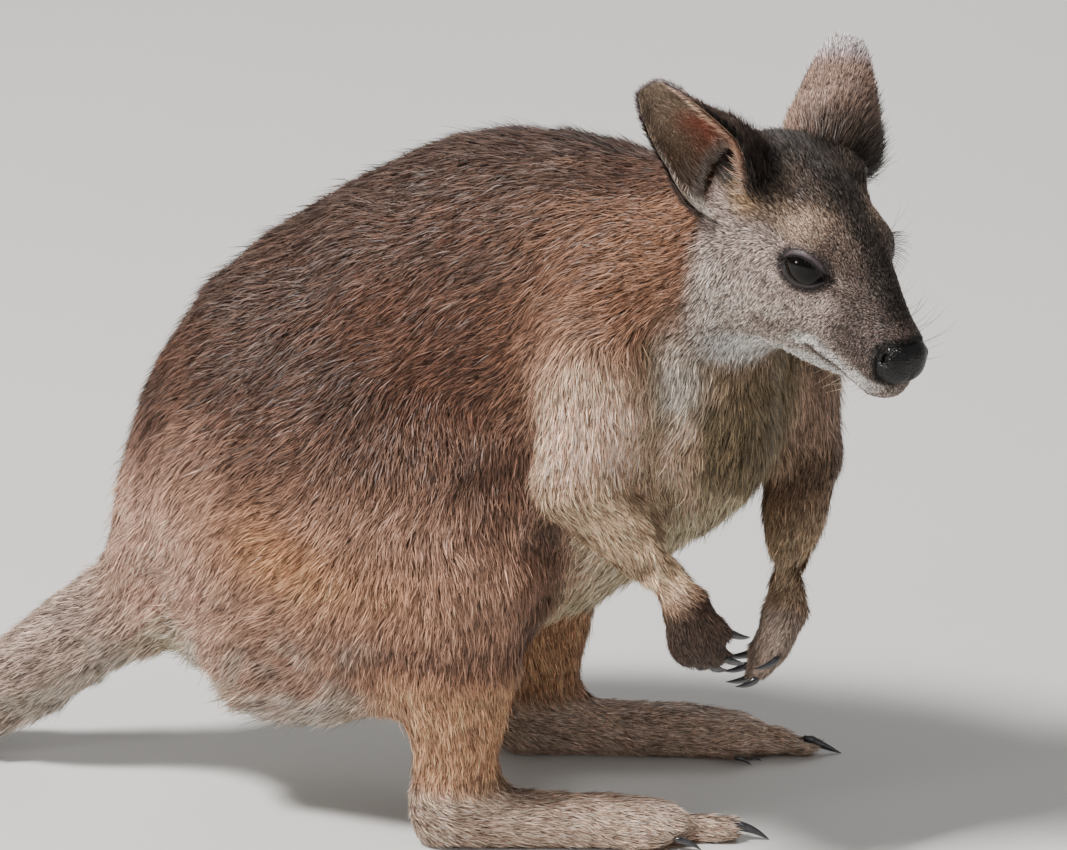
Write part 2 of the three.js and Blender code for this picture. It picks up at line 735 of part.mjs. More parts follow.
function makeLeg(side) {
  const name = side === LEFT ? "left" : "right";
  const x0 = FOOT_SHIFT[side];
  const spread = FOOT_SPREAD[side];
  const haunch = (grow) => {
    const plug = new THREE.CylinderGeometry(1, 1, 90, 20).scale(79 + grow, 1, 74 + grow);
    return solid(plug.translate(-8 + x0 / 2, side * (45 + 32 - grow), 140));
  };
  const shin = (grow) => {
    const block = new THREE.BoxGeometry(84 + 2 * grow, 62 + 2 * grow, 60 + 2 * grow);
    return solid(block.translate(24 + x0, side * (spread + 2), 56));
  };
  const ankle = cut([0, 0, 30], [0, 0, 1]);
  const bounds = (x, z) => [
    [x[0], Math.min(side * 8, side * 112), z[0]],
    [x[1], Math.max(side * 8, side * 112), z[1]],
  ];
  const upper = flesh(...bounds([-110, 90], [40, 230]), CELL.trunk);
  const lower = flesh(...bounds([-30, 90], [20, 100]), CELL.leg);
  const foot = flesh(...bounds([-20, 165], [-6, 40]), CELL.foot);
  const thigh = partedFrom(tools, upper.intersect(haunch(0)).subtract(shin(GAP)));
  pieces.set(`thigh_${name}`, [main(thigh), "body_fur"]);
  pieces.set(`shank_${name}`, [main(lower.intersect(shin(0)).intersect(ankle.front)), "limb_fur"]);
  pieces.set(`foot_${name}`, [main(foot.intersect(ankle.back)), "limb_fur"]);
  tools.push(haunch(GAP), shin(GAP));
  const paw = fleshAndGap(...bounds([-20, 165], [-6, 40]), CELL.foot);
  for (const [toe, [, x1, , out, radius, length]] of Object.entries(TOES)) {
    const [tipX, tipY] = legRing(side, x1 + radius * 0.3, out, radius);
    const tip = [tipX, tipY, radius * 0.95];
    const nail = claw(tip, [1, Math.tan(radians(FOOT_TURN)), -0.12], [0, 0, -1], length + radius * 0.5, Math.min(radius * 0.62, 4.2));
    pieces.set(`toe_claw_${toe}_${name}`, [main(nail.intersect(FLOOR).subtract(paw)), "claw"]);
  }
}

function makeArm(side) {
  const name = side === LEFT ? "left" : "right";
  const { shoulder, elbow, wrist, along } = ARM[side];
  const points = [shoulder, elbow, wrist, inHand(side, 45, 0, 0).toArray()];
  const box = new THREE.Box3().setFromPoints(points.map(vec)).expandByScalar(44);
  const [low, high] = [box.min.toArray(), box.max.toArray()];
  const handBox = new THREE.Box3().setFromPoints([vec(wrist), inHand(side, 36, 0, 0)]).expandByScalar(26);
  const upperDir = vec(elbow).sub(vec(shoulder)).normalize();
  const lowerDir = vec(wrist).sub(vec(elbow)).normalize();
  const elbowCut = cut(elbow, upperDir.clone().add(lowerDir).normalize().toArray());
  const wristCut = cut(wrist, lowerDir.clone().add(vec(along).normalize()).normalize().toArray());
  const upperTool = (grow) =>
    frustum(shoulder, shifted(elbow, upperDir.toArray(), 26), 33 + grow, 21 + grow).intersect(elbowCut.back);
  const lowerTool = (grow) =>
    frustum(shifted(elbow, lowerDir.toArray(), -26), shifted(wrist, lowerDir.toArray(), 12), 24 + grow, 14 + grow)
      .intersect(elbowCut.front);
  const arm = flesh(low, high, CELL.arm);
  const hand = flesh(handBox.min.toArray(), handBox.max.toArray(), CELL.hand);
  pieces.set(`upper_arm_${name}`, [main(arm.intersect(upperTool(0))), "body_fur"]);
  pieces.set(`forearm_${name}`, [main(arm.intersect(lowerTool(0)).intersect(wristCut.back)), "limb_fur"]);
  pieces.set(`hand_${name}`, [main(hand.intersect(wristCut.front)), "limb_fur"]);
  tools.push(upperTool(GAP), lowerTool(GAP));
  const { p } = handFrame(side);
  const paw = fleshAndGap(handBox.min.toArray(), handBox.max.toArray(), CELL.hand);
  for (const [finger, spec] of Object.entries(FINGERS)) {
    const [, knuckle, tip] = fingerPath(side, spec);
    const d = tip.clone().sub(knuckle).normalize();
    const nail = claw(tip.clone().addScaledVector(d, 1).toArray(), d.toArray(), p.toArray(), CLAW_LENGTH, 1.9);
    pieces.set(`finger_claw_${finger}_${name}`, [main(nail.subtract(paw)), "claw"]);
  }
}

function makeTrunk() {
  const high = [175, 110, 350];
  let trunk = flesh([-170, -120, 30], high, CELL.trunk, torso);
  trunk = trunk.intersect(rumpCut.front).intersect(neckCut.back).subtract(headRegion(GAP / 2));
  pieces.set("trunk", [main(partedFrom(tools, trunk)), "body_fur"]);
  let neck = flesh(...NECK_BOX, CELL.neck, torso);
  neck = neck.intersect(neckCut.front).subtract(headRegion(GAP / 2));
  pieces.set("neck", [main(partedFrom(tools, neck)), "body_fur"]);
}

makeHead();
makeTail();
for (const side of [LEFT, RIGHT]) makeArm(side);
for (const side of [LEFT, RIGHT]) makeLeg(side);
makeTrunk();

// ---------------------------------------------------------------- materials and group
const MATERIALS = {
  body_fur: [0x6e4f3c, 0.9],
  face_fur: [0x77695c, 0.9],
  limb_fur: [0x7d6552, 0.9],
  tail_fur: [0x7d6a5c, 0.9],
  ear: [0x6b5547, 0.85],
  eye: [0x0d0806, 0.08],
  nose: [0x121012, 0.35],
  claw: [0x1c1a1d, 0.35],
};
const finish = Object.fromEntries(
  Object.entries(MATERIALS).map(([name, [color, roughness]]) => [
    name,
    new THREE.MeshStandardMaterial({ name, color, roughness, metalness: 0 }),
  ]),
);

const wallaby = new THREE.Group();
for (const [name, [made, material]] of pieces) {
  const m = made.getMesh();
  const geometry = new THREE.BufferGeometry();
  geometry.setAttribute("position", new THREE.BufferAttribute(new Float32Array(m.vertProperties), 3));
  geometry.setIndex(new THREE.BufferAttribute(new Uint32Array(m.triVerts), 1));
  const mesh = new THREE.Mesh(geometry, finish[material]);
  mesh.name = name;
  wallaby.add(mesh);
}

// The origin is the centre of the footprint of the whole model, on the floor.
const size = new THREE.Box3().setFromObject(wallaby);
const middle = size.getCenter(new THREE.Vector3());
wallaby.position.set(-middle.x, -middle.y, 0);

export default wallaby;
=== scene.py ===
"""A parma wallaby as a life-size museum model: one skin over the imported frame, sculpted lids,
nose and mouth, a coat of solid tufts, whiskers, glass eyes and horn claws."""

import math

import bmesh
import bpy
import numpy as np
from mathutils import Matrix, Vector
from mathutils.bvhtree import BVHTree
from mathutils.kdtree import KDTree


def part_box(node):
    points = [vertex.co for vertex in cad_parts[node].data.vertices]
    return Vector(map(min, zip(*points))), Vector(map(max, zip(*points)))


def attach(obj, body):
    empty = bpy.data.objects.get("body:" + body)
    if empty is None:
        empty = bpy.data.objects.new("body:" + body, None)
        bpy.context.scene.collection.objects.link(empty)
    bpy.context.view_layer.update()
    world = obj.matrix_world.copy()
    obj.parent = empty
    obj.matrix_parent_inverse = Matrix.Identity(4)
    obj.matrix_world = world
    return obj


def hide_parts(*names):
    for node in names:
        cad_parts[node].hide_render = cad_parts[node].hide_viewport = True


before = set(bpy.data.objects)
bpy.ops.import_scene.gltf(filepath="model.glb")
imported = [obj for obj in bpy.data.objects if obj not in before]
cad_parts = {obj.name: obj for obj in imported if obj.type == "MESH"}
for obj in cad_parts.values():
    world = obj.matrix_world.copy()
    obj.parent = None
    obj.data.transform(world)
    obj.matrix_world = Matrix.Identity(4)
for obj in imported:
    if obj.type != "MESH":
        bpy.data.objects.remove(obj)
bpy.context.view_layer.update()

MM = 0.001
SIDES = {"right": -1, "left": 1}

# ---- camera and stage
CAMERA_AZIMUTH = math.radians(12)
CAMERA_ELEVATION = math.radians(20)
CAMERA_DISTANCE = 5.88
FRAME_WIDTH = 0.448  # what the picture's width covers at the animal
LOOK_AT = Vector((0.189, -0.0006, 0.177))


def make_camera():
    a, e = CAMERA_AZIMUTH, CAMERA_ELEVATION
    toward = Vector((math.sin(a) * math.cos(e), -math.cos(a) * math.cos(e), math.sin(e)))
    right = Vector((math.cos(a), math.sin(a), 0))
    data = bpy.data.cameras.new("camera")
    data.sensor_width = 36
    data.lens = data.sensor_width * CAMERA_DISTANCE / FRAME_WIDTH
    data.clip_end = 50
    camera = bpy.data.objects.new("camera", data)
    turn = Matrix((right, toward.cross(right), toward)).transposed().to_4x4()
    camera.matrix_world = Matrix.Translation(LOOK_AT + toward * CAMERA_DISTANCE) @ turn
    bpy.context.collection.objects.link(camera)
    bpy.context.scene.camera = camera


make_camera()

# ---- small helpers


def unit(v):
    v = np.asarray(v, float)
    return v / (np.linalg.norm(v, axis=-1, keepdims=True) + 1e-12)


def step(x, low, high):
    """0 below low, 1 above high, smooth between. low may be above high."""
    t = np.clip((np.asarray(x, float) - low) / (high - low), 0, 1)
    return t * t * (3 - 2 * t)


def mix(a, b, t):
    a, b, t = (np.asarray(v, float) for v in (a, b, t))
    if t.ndim and max(a.ndim, b.ndim) > t.ndim:
        t = t[..., None]
    return a + (b - a) * t


def tone(r, g, b):
    """A colour given as 8-bit sRGB, in linear light."""
    c = np.array([r, g, b]) / 255
    return np.where(c < 0.04045, c / 12.92, ((c + 0.055) / 1.055) ** 2.4)


def hill(*offsets):
    """1 where every offset is 0, falling away as a bell."""
    return np.exp(-sum(v**2 for v in offsets))


def reach_of(v):
    """The length of each row."""
    return np.linalg.norm(v, axis=1)


def flattened(ways, normals):
    """The ways turned into the surface, as unit vectors."""
    return unit(ways - normals * np.sum(ways * normals, axis=1, keepdims=True))


def wobble(points, size, seed):
    """Smooth noise from -1 to 1 with features of about that size, in metres."""
    rng = np.random.default_rng(seed)
    total = np.zeros(len(points))
    for _ in range(7):
        wave = unit(rng.normal(size=3)) * 2 * math.pi / (size * rng.uniform(1.2, 2.6))
        total += np.sin(points @ wave + rng.uniform(0, 6.28))
    return np.clip(total / 3.2, -1, 1)


def new_mesh(name, points, faces):
    """A mesh object from points and faces. faces is a list, or an array if all have as many
    corners."""
    mesh = bpy.data.meshes.new(name)
    if isinstance(faces, np.ndarray):
        mesh.vertices.add(len(points))
        mesh.vertices.foreach_set("co", np.ascontiguousarray(points, np.float32).ravel())
        mesh.loops.add(faces.size)
        mesh.loops.foreach_set("vertex_index", np.ascontiguousarray(faces, np.int32).ravel())
        mesh.polygons.add(len(faces))
        starts = np.arange(0, faces.size, faces.shape[1], dtype=np.int32)
        mesh.polygons.foreach_set("loop_start", starts)
        mesh.update(calc_edges=True)
    else:
        mesh.from_pydata([tuple(p) for p in points], [], faces)
        mesh.update()
    mesh.shade_smooth()
    made = bpy.data.objects.new(name, mesh)
    bpy.context.collection.objects.link(made)
    return made


def read(items, what, columns, kind=np.float32):
    """A property of each item of a mesh's collection, as rows of an array."""
    out = np.empty(columns * len(items), kind)
    items.foreach_get(what, out)
    return out.reshape(-1, columns)


def points_of(mesh, what="co"):
    return read(mesh.vertices, what, 3).astype(float)


def move_points(mesh, points):
    mesh.vertices.foreach_set("co", points.astype(np.float32).ravel())
    mesh.update()


def ring_faces(rows, columns):
    """Four-sided faces between rows of points, each row a closed ring."""
    i, j = (v.reshape(-1, 1) for v in np.mgrid[: rows - 1, :columns])
    k = (j + 1) % columns
    return np.hstack([i * columns + j, i * columns + k, (i + 1) * columns + k, (i + 1) * columns + j])


def edit(mesh, change):
    """Makes a change that works on a bmesh."""
    bm = bmesh.new()
    bm.from_mesh(mesh)
    change(bm)
    bm.to_mesh(mesh)
    bm.free()


def face_outward(bm):
    bmesh.ops.recalc_face_normals(bm, faces=bm.faces)


def weld(bm):
    """Makes one point of those nearer than a micrometre."""
    bmesh.ops.remove_doubles(bm, verts=bm.verts, dist=1e-6)


def paint(mesh, name, colours):
    rgba = np.ones((len(mesh.vertices), 4), np.float32)
    rgba[:, :3] = colours
    mesh.attributes.new(name, "FLOAT_COLOR", "POINT").data.foreach_set("color", rgba.ravel())


def dress(piece, material, slot, *nodes):
    piece.data.materials.append(material)
    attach(piece, "root")
    if nodes:
        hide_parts(*nodes)


# ---- the head's own axes
# x to the nose, y to the animal's left, z up, in mm, from a point between the eyes.
HEAD_YAW, HEAD_PITCH, HEAD_ROLL = -38, 13.5, 2.4
EYE_RADIUS = 11.5
EYE_AT = np.array([1.5, 15, 2.6])
HEAD_IN_SOURCE = np.array([184.5, -86, 285])  # that origin in the part's own coordinates

HEAD_TURN = np.array(
    (
        Matrix.Rotation(math.radians(HEAD_YAW), 3, "Z")
        @ Matrix.Rotation(math.radians(HEAD_PITCH), 3, "Y")
        @ Matrix.Rotation(math.radians(-HEAD_ROLL), 3, "X")
    )
)


def middle(node):
    low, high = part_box(node)
    return (np.array(low) + np.array(high)) / 2


EYES = {name: middle(f"eye_{name}") for name in SIDES}
HEAD_AT = (EYES["left"] + EYES["right"]) / 2 - HEAD_TURN @ (EYE_AT * (1, 0, 1)) * MM
SHIFT = HEAD_AT - HEAD_IN_SOURCE * MM  # from the part's own coordinates to the frame's


def to_head(points):
    return (np.asarray(points) - HEAD_AT) @ HEAD_TURN / MM


def from_head(points):
    return np.asarray(points, float) @ HEAD_TURN.T * MM + HEAD_AT


def head_way(direction):
    return np.asarray(direction, float) @ HEAD_TURN.T


def to_body(points):
    return (points - SHIFT) / MM


# ---- zones of the coat
# How far the skin lies inside the coat's tips, the length of the hair, its lift off the skin
# in degrees, the width of a tuft and the number of tufts per square millimetre.
ZONE_COLUMNS = ("depth", "hair", "lift", "width", "density")
ZONES = {
    "head": (1.6, 3.5, 20, 0.4, 6.0),
    "nose": (0.4, 2.0, 11, 0.34, 5.6),
    "ear": (0.0, 4.0, 15, 0.3, 3.0),
    "neck": (4.2, 6.6, 22, 0.38, 3.4),
    "trunk": (4.4, 9.0, 21, 0.44, 2.1),
    "thigh": (4.4, 8.8, 21, 0.43, 2.25),
    "shank": (2.6, 7.0, 17, 0.4, 2.6),
    "foot": (1.4, 5.5, 12, 0.4, 2.4),
    "upper_arm": (3.4, 7.6, 20, 0.4, 3.0),
    "forearm": (2.0, 6.0, 17, 0.37, 3.8),
    "hand": (1.0, 4.0, 13, 0.34, 4.7),
    "tail": (2.8, 8.0, 17, 0.42, 2.2),
}
ZONE_NAMES = list(ZONES)
ZONE_TABLE = np.array(list(ZONES.values()), float)


def zone_values(weights, column):
    """A column of the table at each point, blended by the point's shares of the zones."""
    return weights @ ZONE_TABLE[:, ZONE_COLUMNS.index(column)]


def zone_share(weights, *names):
    """How much of each point belongs to those zones together."""
    return sum(weights[:, ZONE_NAMES.index(name)] for name in names)


def zone_of(node):
    return next(zone for zone in ZONE_NAMES if node.startswith(zone))


FLESH = [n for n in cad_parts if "claw" not in n and not n.startswith(("eye", "ear"))]
VOXEL = 0.0021  # the cell of the remesh
SWELL = 0.0004  # how far each solid grows, to close the gaps between them


def arrays_of(bm):
    """Points, normals and faces of a bmesh, which is then freed."""
    points = np.array([v.co for v in bm.verts])
    normals = np.array([v.normal for v in bm.verts])
    faces = [[v.index for v in f.verts] for f in bm.faces]
    bm.free()
    return points, normals, faces


def welded(node):
    """A CAD node's points, normals and faces, with its corners shared."""
    bm = bmesh.new()
    bm.from_mesh(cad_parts[node].data)
    weld(bm)
    bm.normal_update()
    return arrays_of(bm)


def ball(centre, radius, rows=16, columns=28):
    """Points and faces of a closed ball. Blender's own order of the faces changes from run to
    run, so they are sorted."""
    bm = bmesh.new()
    bmesh.ops.create_uvsphere(bm, u_segments=columns, v_segments=rows, radius=1)
    points, _, faces = arrays_of(bm)
    return points * radius + centre, sorted(faces)


LID_HEIGHT = 0.9  # how far the lids stand over the eyeball, mm
HEAD_DEPTH = ZONES["head"][0]


def joined_flesh():
    """All the flesh and a ball for each eye's lids, with the zone of each face."""
    solids = []
    for name in SIDES:
        radius = EYE_RADIUS + LID_HEIGHT + HEAD_DEPTH
        solids.append((*ball(EYES[name], radius * MM), "head"))
    for node in FLESH:
        points, normals, faces = welded(node)
        solids.append((points + normals * SWELL, faces, zone_of(node)))
    joined, owner, base = [], [], 0
    for points, faces, zone in solids:
        joined += [[base + i for i in face] for face in faces]
        owner += [ZONE_NAMES.index(zone)] * len(faces)
        base += len(points)
    return np.concatenate([solid[0] for solid in solids]), joined, np.array(owner)


def remeshed(points, faces, voxel):
    temp = new_mesh("remesh", points, faces)
    temp.modifiers.new("remesh", "REMESH").voxel_size = voxel
    graph = bpy.context.evaluated_depsgraph_get()
    mesh = bpy.data.meshes.new_from_object(temp.evaluated_get(graph))
    bpy.data.objects.remove(temp)
    return mesh


def keep_largest(bm):
    """Keeps the outer surface alone."""
    left, largest = set(bm.verts), set()
    while left:
        part, front = set(), {next(iter(left))}
        while front:
            part |= front
            front = {e.other_vert(v) for v in front for e in v.link_edges} - part
        left -= part
        largest = max(largest, part, key=len)
    bmesh.ops.delete(bm, geom=[v for v in bm.verts if v not in largest], context="VERTS")


class Net:
    """Points joined by edges, for smoothing values over a surface."""

    def __init__(self, mesh):
        self.a, self.b = read(mesh.edges, "vertices", 2, np.int32).T
        self.n = len(mesh.vertices)
        ends = np.concatenate([self.a, self.b])
        self.count = np.bincount(ends, minlength=self.n)[:, None].astype(float)

    def average(self, values):
        values = values.reshape(self.n, -1)
        out = np.empty_like(values)
        for i in range(values.shape[1]):
            v = values[:, i]
            out[:, i] = np.bincount(self.a, v[self.b], self.n)
            out[:, i] += np.bincount(self.b, v[self.a], self.n)
        return out / self.count

    def smooth(self, values, times, amount=0.5):
        values = values.reshape(self.n, -1)
        for _ in range(times):
            values = values + (self.average(values) - values) * amount
        return values

    def fair(self, points, times, weight):
        """Smooths without shrinking, by as much as the weight of each point."""
        for _ in range(times):
            points = points + (self.average(points) - points) * 0.5 * weight
            points = points - (self.average(points) - points) * 0.52 * weight
        return points


# ---- sculpting the face
# The line between the lips, from the front to the corner, on the left side.
MOUTH = np.array([
    [53, 0, -37.5], [49, 4.5, -40.2], [41.5, 8.6, -40.6], [31, 10.8, -37.8], [24, 13.2, -35.4],
    [17.5, 15.8, -33.9], [12.5, 18.5, -31],
])


def mouth_distance(h):
    """Distance in mm from the line between the lips, and how far above it a point lies."""
    q = h * (1, 0, 1) + np.abs(h) * (0, 1, 0)
    best, above = np.full(len(h), 1e9), np.zeros(len(h))
    for a, b in zip(MOUTH[:-1], MOUTH[1:]):
        t = np.clip((q - a) @ (b - a) / ((b - a) @ (b - a)), 0, 1)[:, None]
        off = q - (a + (b - a) * t)
        d = reach_of(off * (0.7, 0.7, 1))
        closer = d < best
        best[closer], above[closer] = d[closer], off[closer, 2]
    return best, above


def refine_face(bm):
    """Finer faces round the eyes, the nose and the mouth."""
    spots = [EYE_AT * (1, s, 1) + (3, 6 * s, 0) for s in (-1, 1)] + [np.array([48, 0, -24])]
    for radius, lips in ((20, 7), (15, 4)):
        edges = list(bm.edges)
        middles = to_head(np.array([(e.verts[0].co + e.verts[1].co) / 2 for e in edges]))
        near = mouth_distance(middles)[0] < lips
        for spot in spots:
            near |= reach_of(middles - spot) < radius
        chosen = [e for e, wanted in zip(edges, near) if wanted]
        bmesh.ops.subdivide_edges(bm, edges=chosen, cuts=1, use_grid_fill=True)
    long_faces = [f for f in bm.faces if len(f.verts) > 4]
    bmesh.ops.triangulate(bm, faces=long_faces)


def sculpt_face(points, normals):
    """The line between the lips, and the upper lip over the lower, as moves along the normal."""
    h = to_head(points)
    on_head = step(h[:, 0], -60, -40) * step(reach_of(h), 95, 75)
    line, above = mouth_distance(h)
    move = -1.5 * hill(line / 0.8)
    move += 0.8 * hill((line - 2.2) / 1.6) * (above > 0)
    move -= 0.5 * step(line, 5, 1) * (above < 0)
    return points + normals * (move * on_head * MM)[:, None]


NOSE_AT = np.array([45.8, 0, -21.6])
NOSE_SIZE = np.array([10.9, 11.9, 10.2])
NOSE_POWER = 2.5  # 2 is an ellipsoid, more is blockier


def nose_reach(off):
    """How far out of the nose pad's form a point lies: 1 on its surface."""
    return (np.abs(off / NOSE_SIZE) ** NOSE_POWER).sum(-1) ** (1 / NOSE_POWER)


def sink_under_nose(points):
    """Takes the skin in front back inside the nose pad."""
    h = to_head(points)
    off = h - NOSE_AT
    reach = nose_reach(off) + 1e-9
    polar = np.degrees(np.arccos(np.clip(off[:, 0] / (reach_of(off) + 1e-9), -1, 1)))
    rise = np.degrees(np.arctan2(off[:, 2], np.abs(off[:, 1])))
    edge = 78 - 24 * step(rise, 10, 60) - 14 * step(rise, -35, -75)
    inside = step(polar - edge, 12, 0) * (reach < 1.6)
    target = mix(reach, np.minimum(reach, 0.84), inside)
    return from_head(NOSE_AT + off * (target / reach)[:, None])


# ---- the ears
EAR_LENGTH, EAR_HALF_WIDTH, EAR_ROOT = 63, 19, np.array([-42, 25, 17])
EAR_WAYS = {
    "right": dict(out=(-0.3, 0.67, 0.68), open=(0.7, 0.63, -0.31)),
    "left": dict(out=(-0.62, 0.62, 0.48), open=(-0.14, 0.52, -0.84)),
}
EAR_SKIN = 1.5  # thickness
EAR_SHARE = 0.945  # the skin ends inside the hair of the tip


def ear_axes(name):
    mirror = np.array([1, SIDES[name], 1])
    up = unit(np.array(EAR_WAYS[name]["out"]) * mirror)
    forward = np.array(EAR_WAYS[name]["open"]) * mirror
    forward = unit(forward - up * (forward @ up))
    return up, forward, np.cross(up, forward)


def ear_surface(name, t, s, depth):
    """A point of the ear: t from root to tip, s from edge to edge, depth outwards, in head mm."""
    up, forward, across = ear_axes(name)
    width = EAR_HALF_WIDTH * np.sqrt(np.maximum(1 - ((t - 0.38) / 0.64) ** 2, 0)) * (1 - 0.3 * t)
    wrap = 2.3 + (0.75 - 2.3) * np.minimum(t / 0.75, 1)
    right_angle = np.minimum(wrap, math.pi / 2)
    radius = np.maximum(width, 3.2) / np.sin(right_angle)
    angle = s * wrap
    r = radius + depth
    rim = np.cos(right_angle) * radius
    root = EAR_ROOT * (1, SIDES[name], 1)
    return (
        root
        + up * (t * EAR_LENGTH)[..., None]
        + across * (np.sin(angle) * r)[..., None]
        + forward * (rim - np.cos(angle) * r + 2 - 7 * t * t)[..., None]
    )


def ear_skin(name):
    """The ear's closed shell: an outer and an inner face that meet at a thin edge."""
    rows, columns = 44, 40
    t = np.linspace(-0.06, EAR_SHARE, rows + 1)[:, None] + np.zeros((1, columns + 1))
    s = np.linspace(-1, 1, columns + 1)[None, :] + np.zeros((rows + 1, 1))
    edge = np.minimum(np.abs(1 - np.abs(s)) * 6, 1) * np.minimum((EAR_SHARE - t) * 12, 1)
    half = EAR_SKIN / 2 * (0.25 + 0.75 * edge)
    outer = ear_surface(name, t, s, half)
    inner = ear_surface(name, t, s, -half)
    n = (rows + 1) * (columns + 1)
    index = np.arange(n).reshape(rows + 1, columns + 1)
    a, b, c, d = index[:-1, :-1], index[:-1, 1:], index[1:, 1:], index[1:, :-1]
    faces = [np.stack([a, b, c, d], -1).reshape(-1, 4), np.stack([a, d, c, b], -1).reshape(-1, 4) + n]
    loop = np.concatenate([index[0, :], index[1:, -1], index[-1, -2::-1], index[-2:0:-1, 0]])
    after = np.roll(loop, -1)
    faces.append(np.stack([after, loop, loop + n, after + n], -1))
    faces = np.concatenate(faces)
    points = from_head(np.concatenate([outer.reshape(-1, 3), inner.reshape(-1, 3)]))
    inside = np.repeat([0.0, 1.0], n)
    return points, faces[:, ::-1], inside, np.tile(t.ravel(), 2), np.tile(s.ravel(), 2)


# ---- the eyelids
EYE_AXIS = np.array([0.362, 0.92, -0.185])
EYE_TILT = -0.14  # slope of the opening's long axis
# Half angles of the opening, in degrees: to the front and back corner, up and down, and how far
# the front corner is drawn out.
OPENING = dict(front=52, back=47, up=36, down=20, corner=14)
LID_RIM = [(-0.5, 0), (0.15, 0.2), (0.4, 1.4), (0.6, 3.6), (0.8, 8), (0.8, 13), (0.1, 20)]


def eye_axes(side):
    axis = unit(EYE_AXIS * (1, side, 1))
    along = np.array([1, 0, EYE_TILT])
    along = unit(along - axis * (along @ axis))
    up = np.cross(axis, along) * side
    up = up if up[2] > 0 else -up
    return axis, along, up


def round_eye(h, side, middle, half, limit):
    """How far out of an ellipse over the eye a point lies: 1 on its edge, and 9 for every point
    farther than the limit from the eye's middle."""
    _, along, up = eye_axes(side)
    off = h - EYE_AT * (1, side, 1)
    flat = np.hypot((off @ along - middle[0]) / half[0], (off @ up - middle[1]) / half[1])
    return np.where(reach_of(off) < limit, flat, 9)


def lid_edge(around):
    """The opening's edge as angles along and across the eye, for directions round it."""
    c, s = np.cos(around), np.sin(around)
    x = np.where(c > 0, OPENING["front"], OPENING["back"]) * c + OPENING["corner"] * np.maximum(c, 0) ** 9
    y = np.where(s > 0, OPENING["up"], OPENING["down"]) * s * np.abs(s) ** 0.3
    return x, y


def sink_under_lids(points):
    """Takes the skin inside each eye's opening back behind the eyeball."""
    h = to_head(points)
    for name, side in SIDES.items():
        axis, along, up = eye_axes(side)
        off = h - to_head([EYES[name]])[0]
        reach = reach_of(off)
        polar = np.degrees(np.arccos(np.clip(off @ axis / reach, -1, 1)))
        bearing = np.arctan2(off @ up, off @ along)
        edge = np.linspace(-math.pi, math.pi, 181)
        x, y = lid_edge(edge)
        order = np.argsort(np.arctan2(y, x))
        limit = np.interp(bearing, np.arctan2(y, x)[order], np.hypot(x, y)[order], period=2 * math.pi)
        inside = step(polar - limit, 8, 4) * (reach < EYE_RADIUS * 1.6)
        target = mix(reach, np.minimum(reach, EYE_RADIUS - 2.5), inside)
        h = h + off * (target / reach - 1)[:, None]
    return from_head(h)


def lid_skin(name):
    """A shell over the eyeball with an almond opening: rings of (height over the ball, angle
    outward from the opening's edge)."""
    side = SIDES[name]
    axis, along, up = eye_axes(side)
    centre = to_head([EYES[name]])[0]
    around = np.linspace(0, 2 * math.pi, 73)[:-1]
    x, y = lid_edge(around)
    reach = np.hypot(x, y)
    rings = []
    for height, outward in LID_RIM:
        polar = np.radians(np.minimum(reach + outward, 84))
        way = (along * x[:, None] + up * y[:, None]) / reach[:, None]
        spot = axis * np.cos(polar)[:, None] + way * np.sin(polar)[:, None]
        rings.append(centre + spot * (EYE_RADIUS + height))
    points = from_head(np.concatenate(rings))
    faces = ring_faces(len(LID_RIM), len(around))
    outward = np.repeat([ring[1] for ring in LID_RIM], len(around))
    return points, faces[:, ::-side], outward


# ---- the skin
# Rounds of smoothing: of the large forms, of everything, of the zones' edges and of the
# widely blended zones that the markings use.
FORM_ROUNDS, ALL_ROUNDS, ZONE_ROUNDS, BROAD_ROUNDS = 120, 7, 14, 45


def make_skin():
    """The whole skin as one mesh, with each point's zone weights, close and widely blended."""
    points, faces, owner = joined_flesh()
    source = BVHTree.FromPolygons([Vector(p) for p in points], faces)
    mesh = remeshed(points, faces, VOXEL)
    edit(mesh, keep_largest)
    net = Net(mesh)
    p = points_of(mesh)
    zone = np.array([owner[source.find_nearest(Vector(q))[2]] for q in p])
    weights = np.eye(len(ZONE_NAMES))[zone]
    large = zone_share(weights, "trunk", "neck", "thigh", "shank", "upper_arm")
    p = net.fair(p, FORM_ROUNDS, net.smooth(large, 6))
    p = net.fair(p, ALL_ROUNDS, np.ones((len(p), 1)))
    broad = net.smooth(weights, BROAD_ROUNDS, 1.0)
    weights = net.smooth(weights, ZONE_ROUNDS)
    move_points(mesh, p)
    n = net.smooth(points_of(mesh, "normal"), 3)
    p = p - unit(n) * zone_values(weights, "depth")[:, None] * MM
    p = net.smooth(p, 3)
    move_points(mesh, p)

    edit(mesh, refine_face)
    tree = KDTree(len(p))
    for i, q in enumerate(p):
        tree.insert(q, i)
    tree.balance()
    q = points_of(mesh)
    twin = np.array([tree.find(Vector(v))[1] for v in q[len(p):]], int)
    weights = np.concatenate([weights, weights[twin]])
    broad = np.concatenate([broad, broad[twin]])
    q = sink_under_nose(sink_under_lids(sculpt_face(q, points_of(mesh, "normal"))))
    move_points(mesh, q)
    mesh.shade_smooth()
    return mesh, q, weights, broad


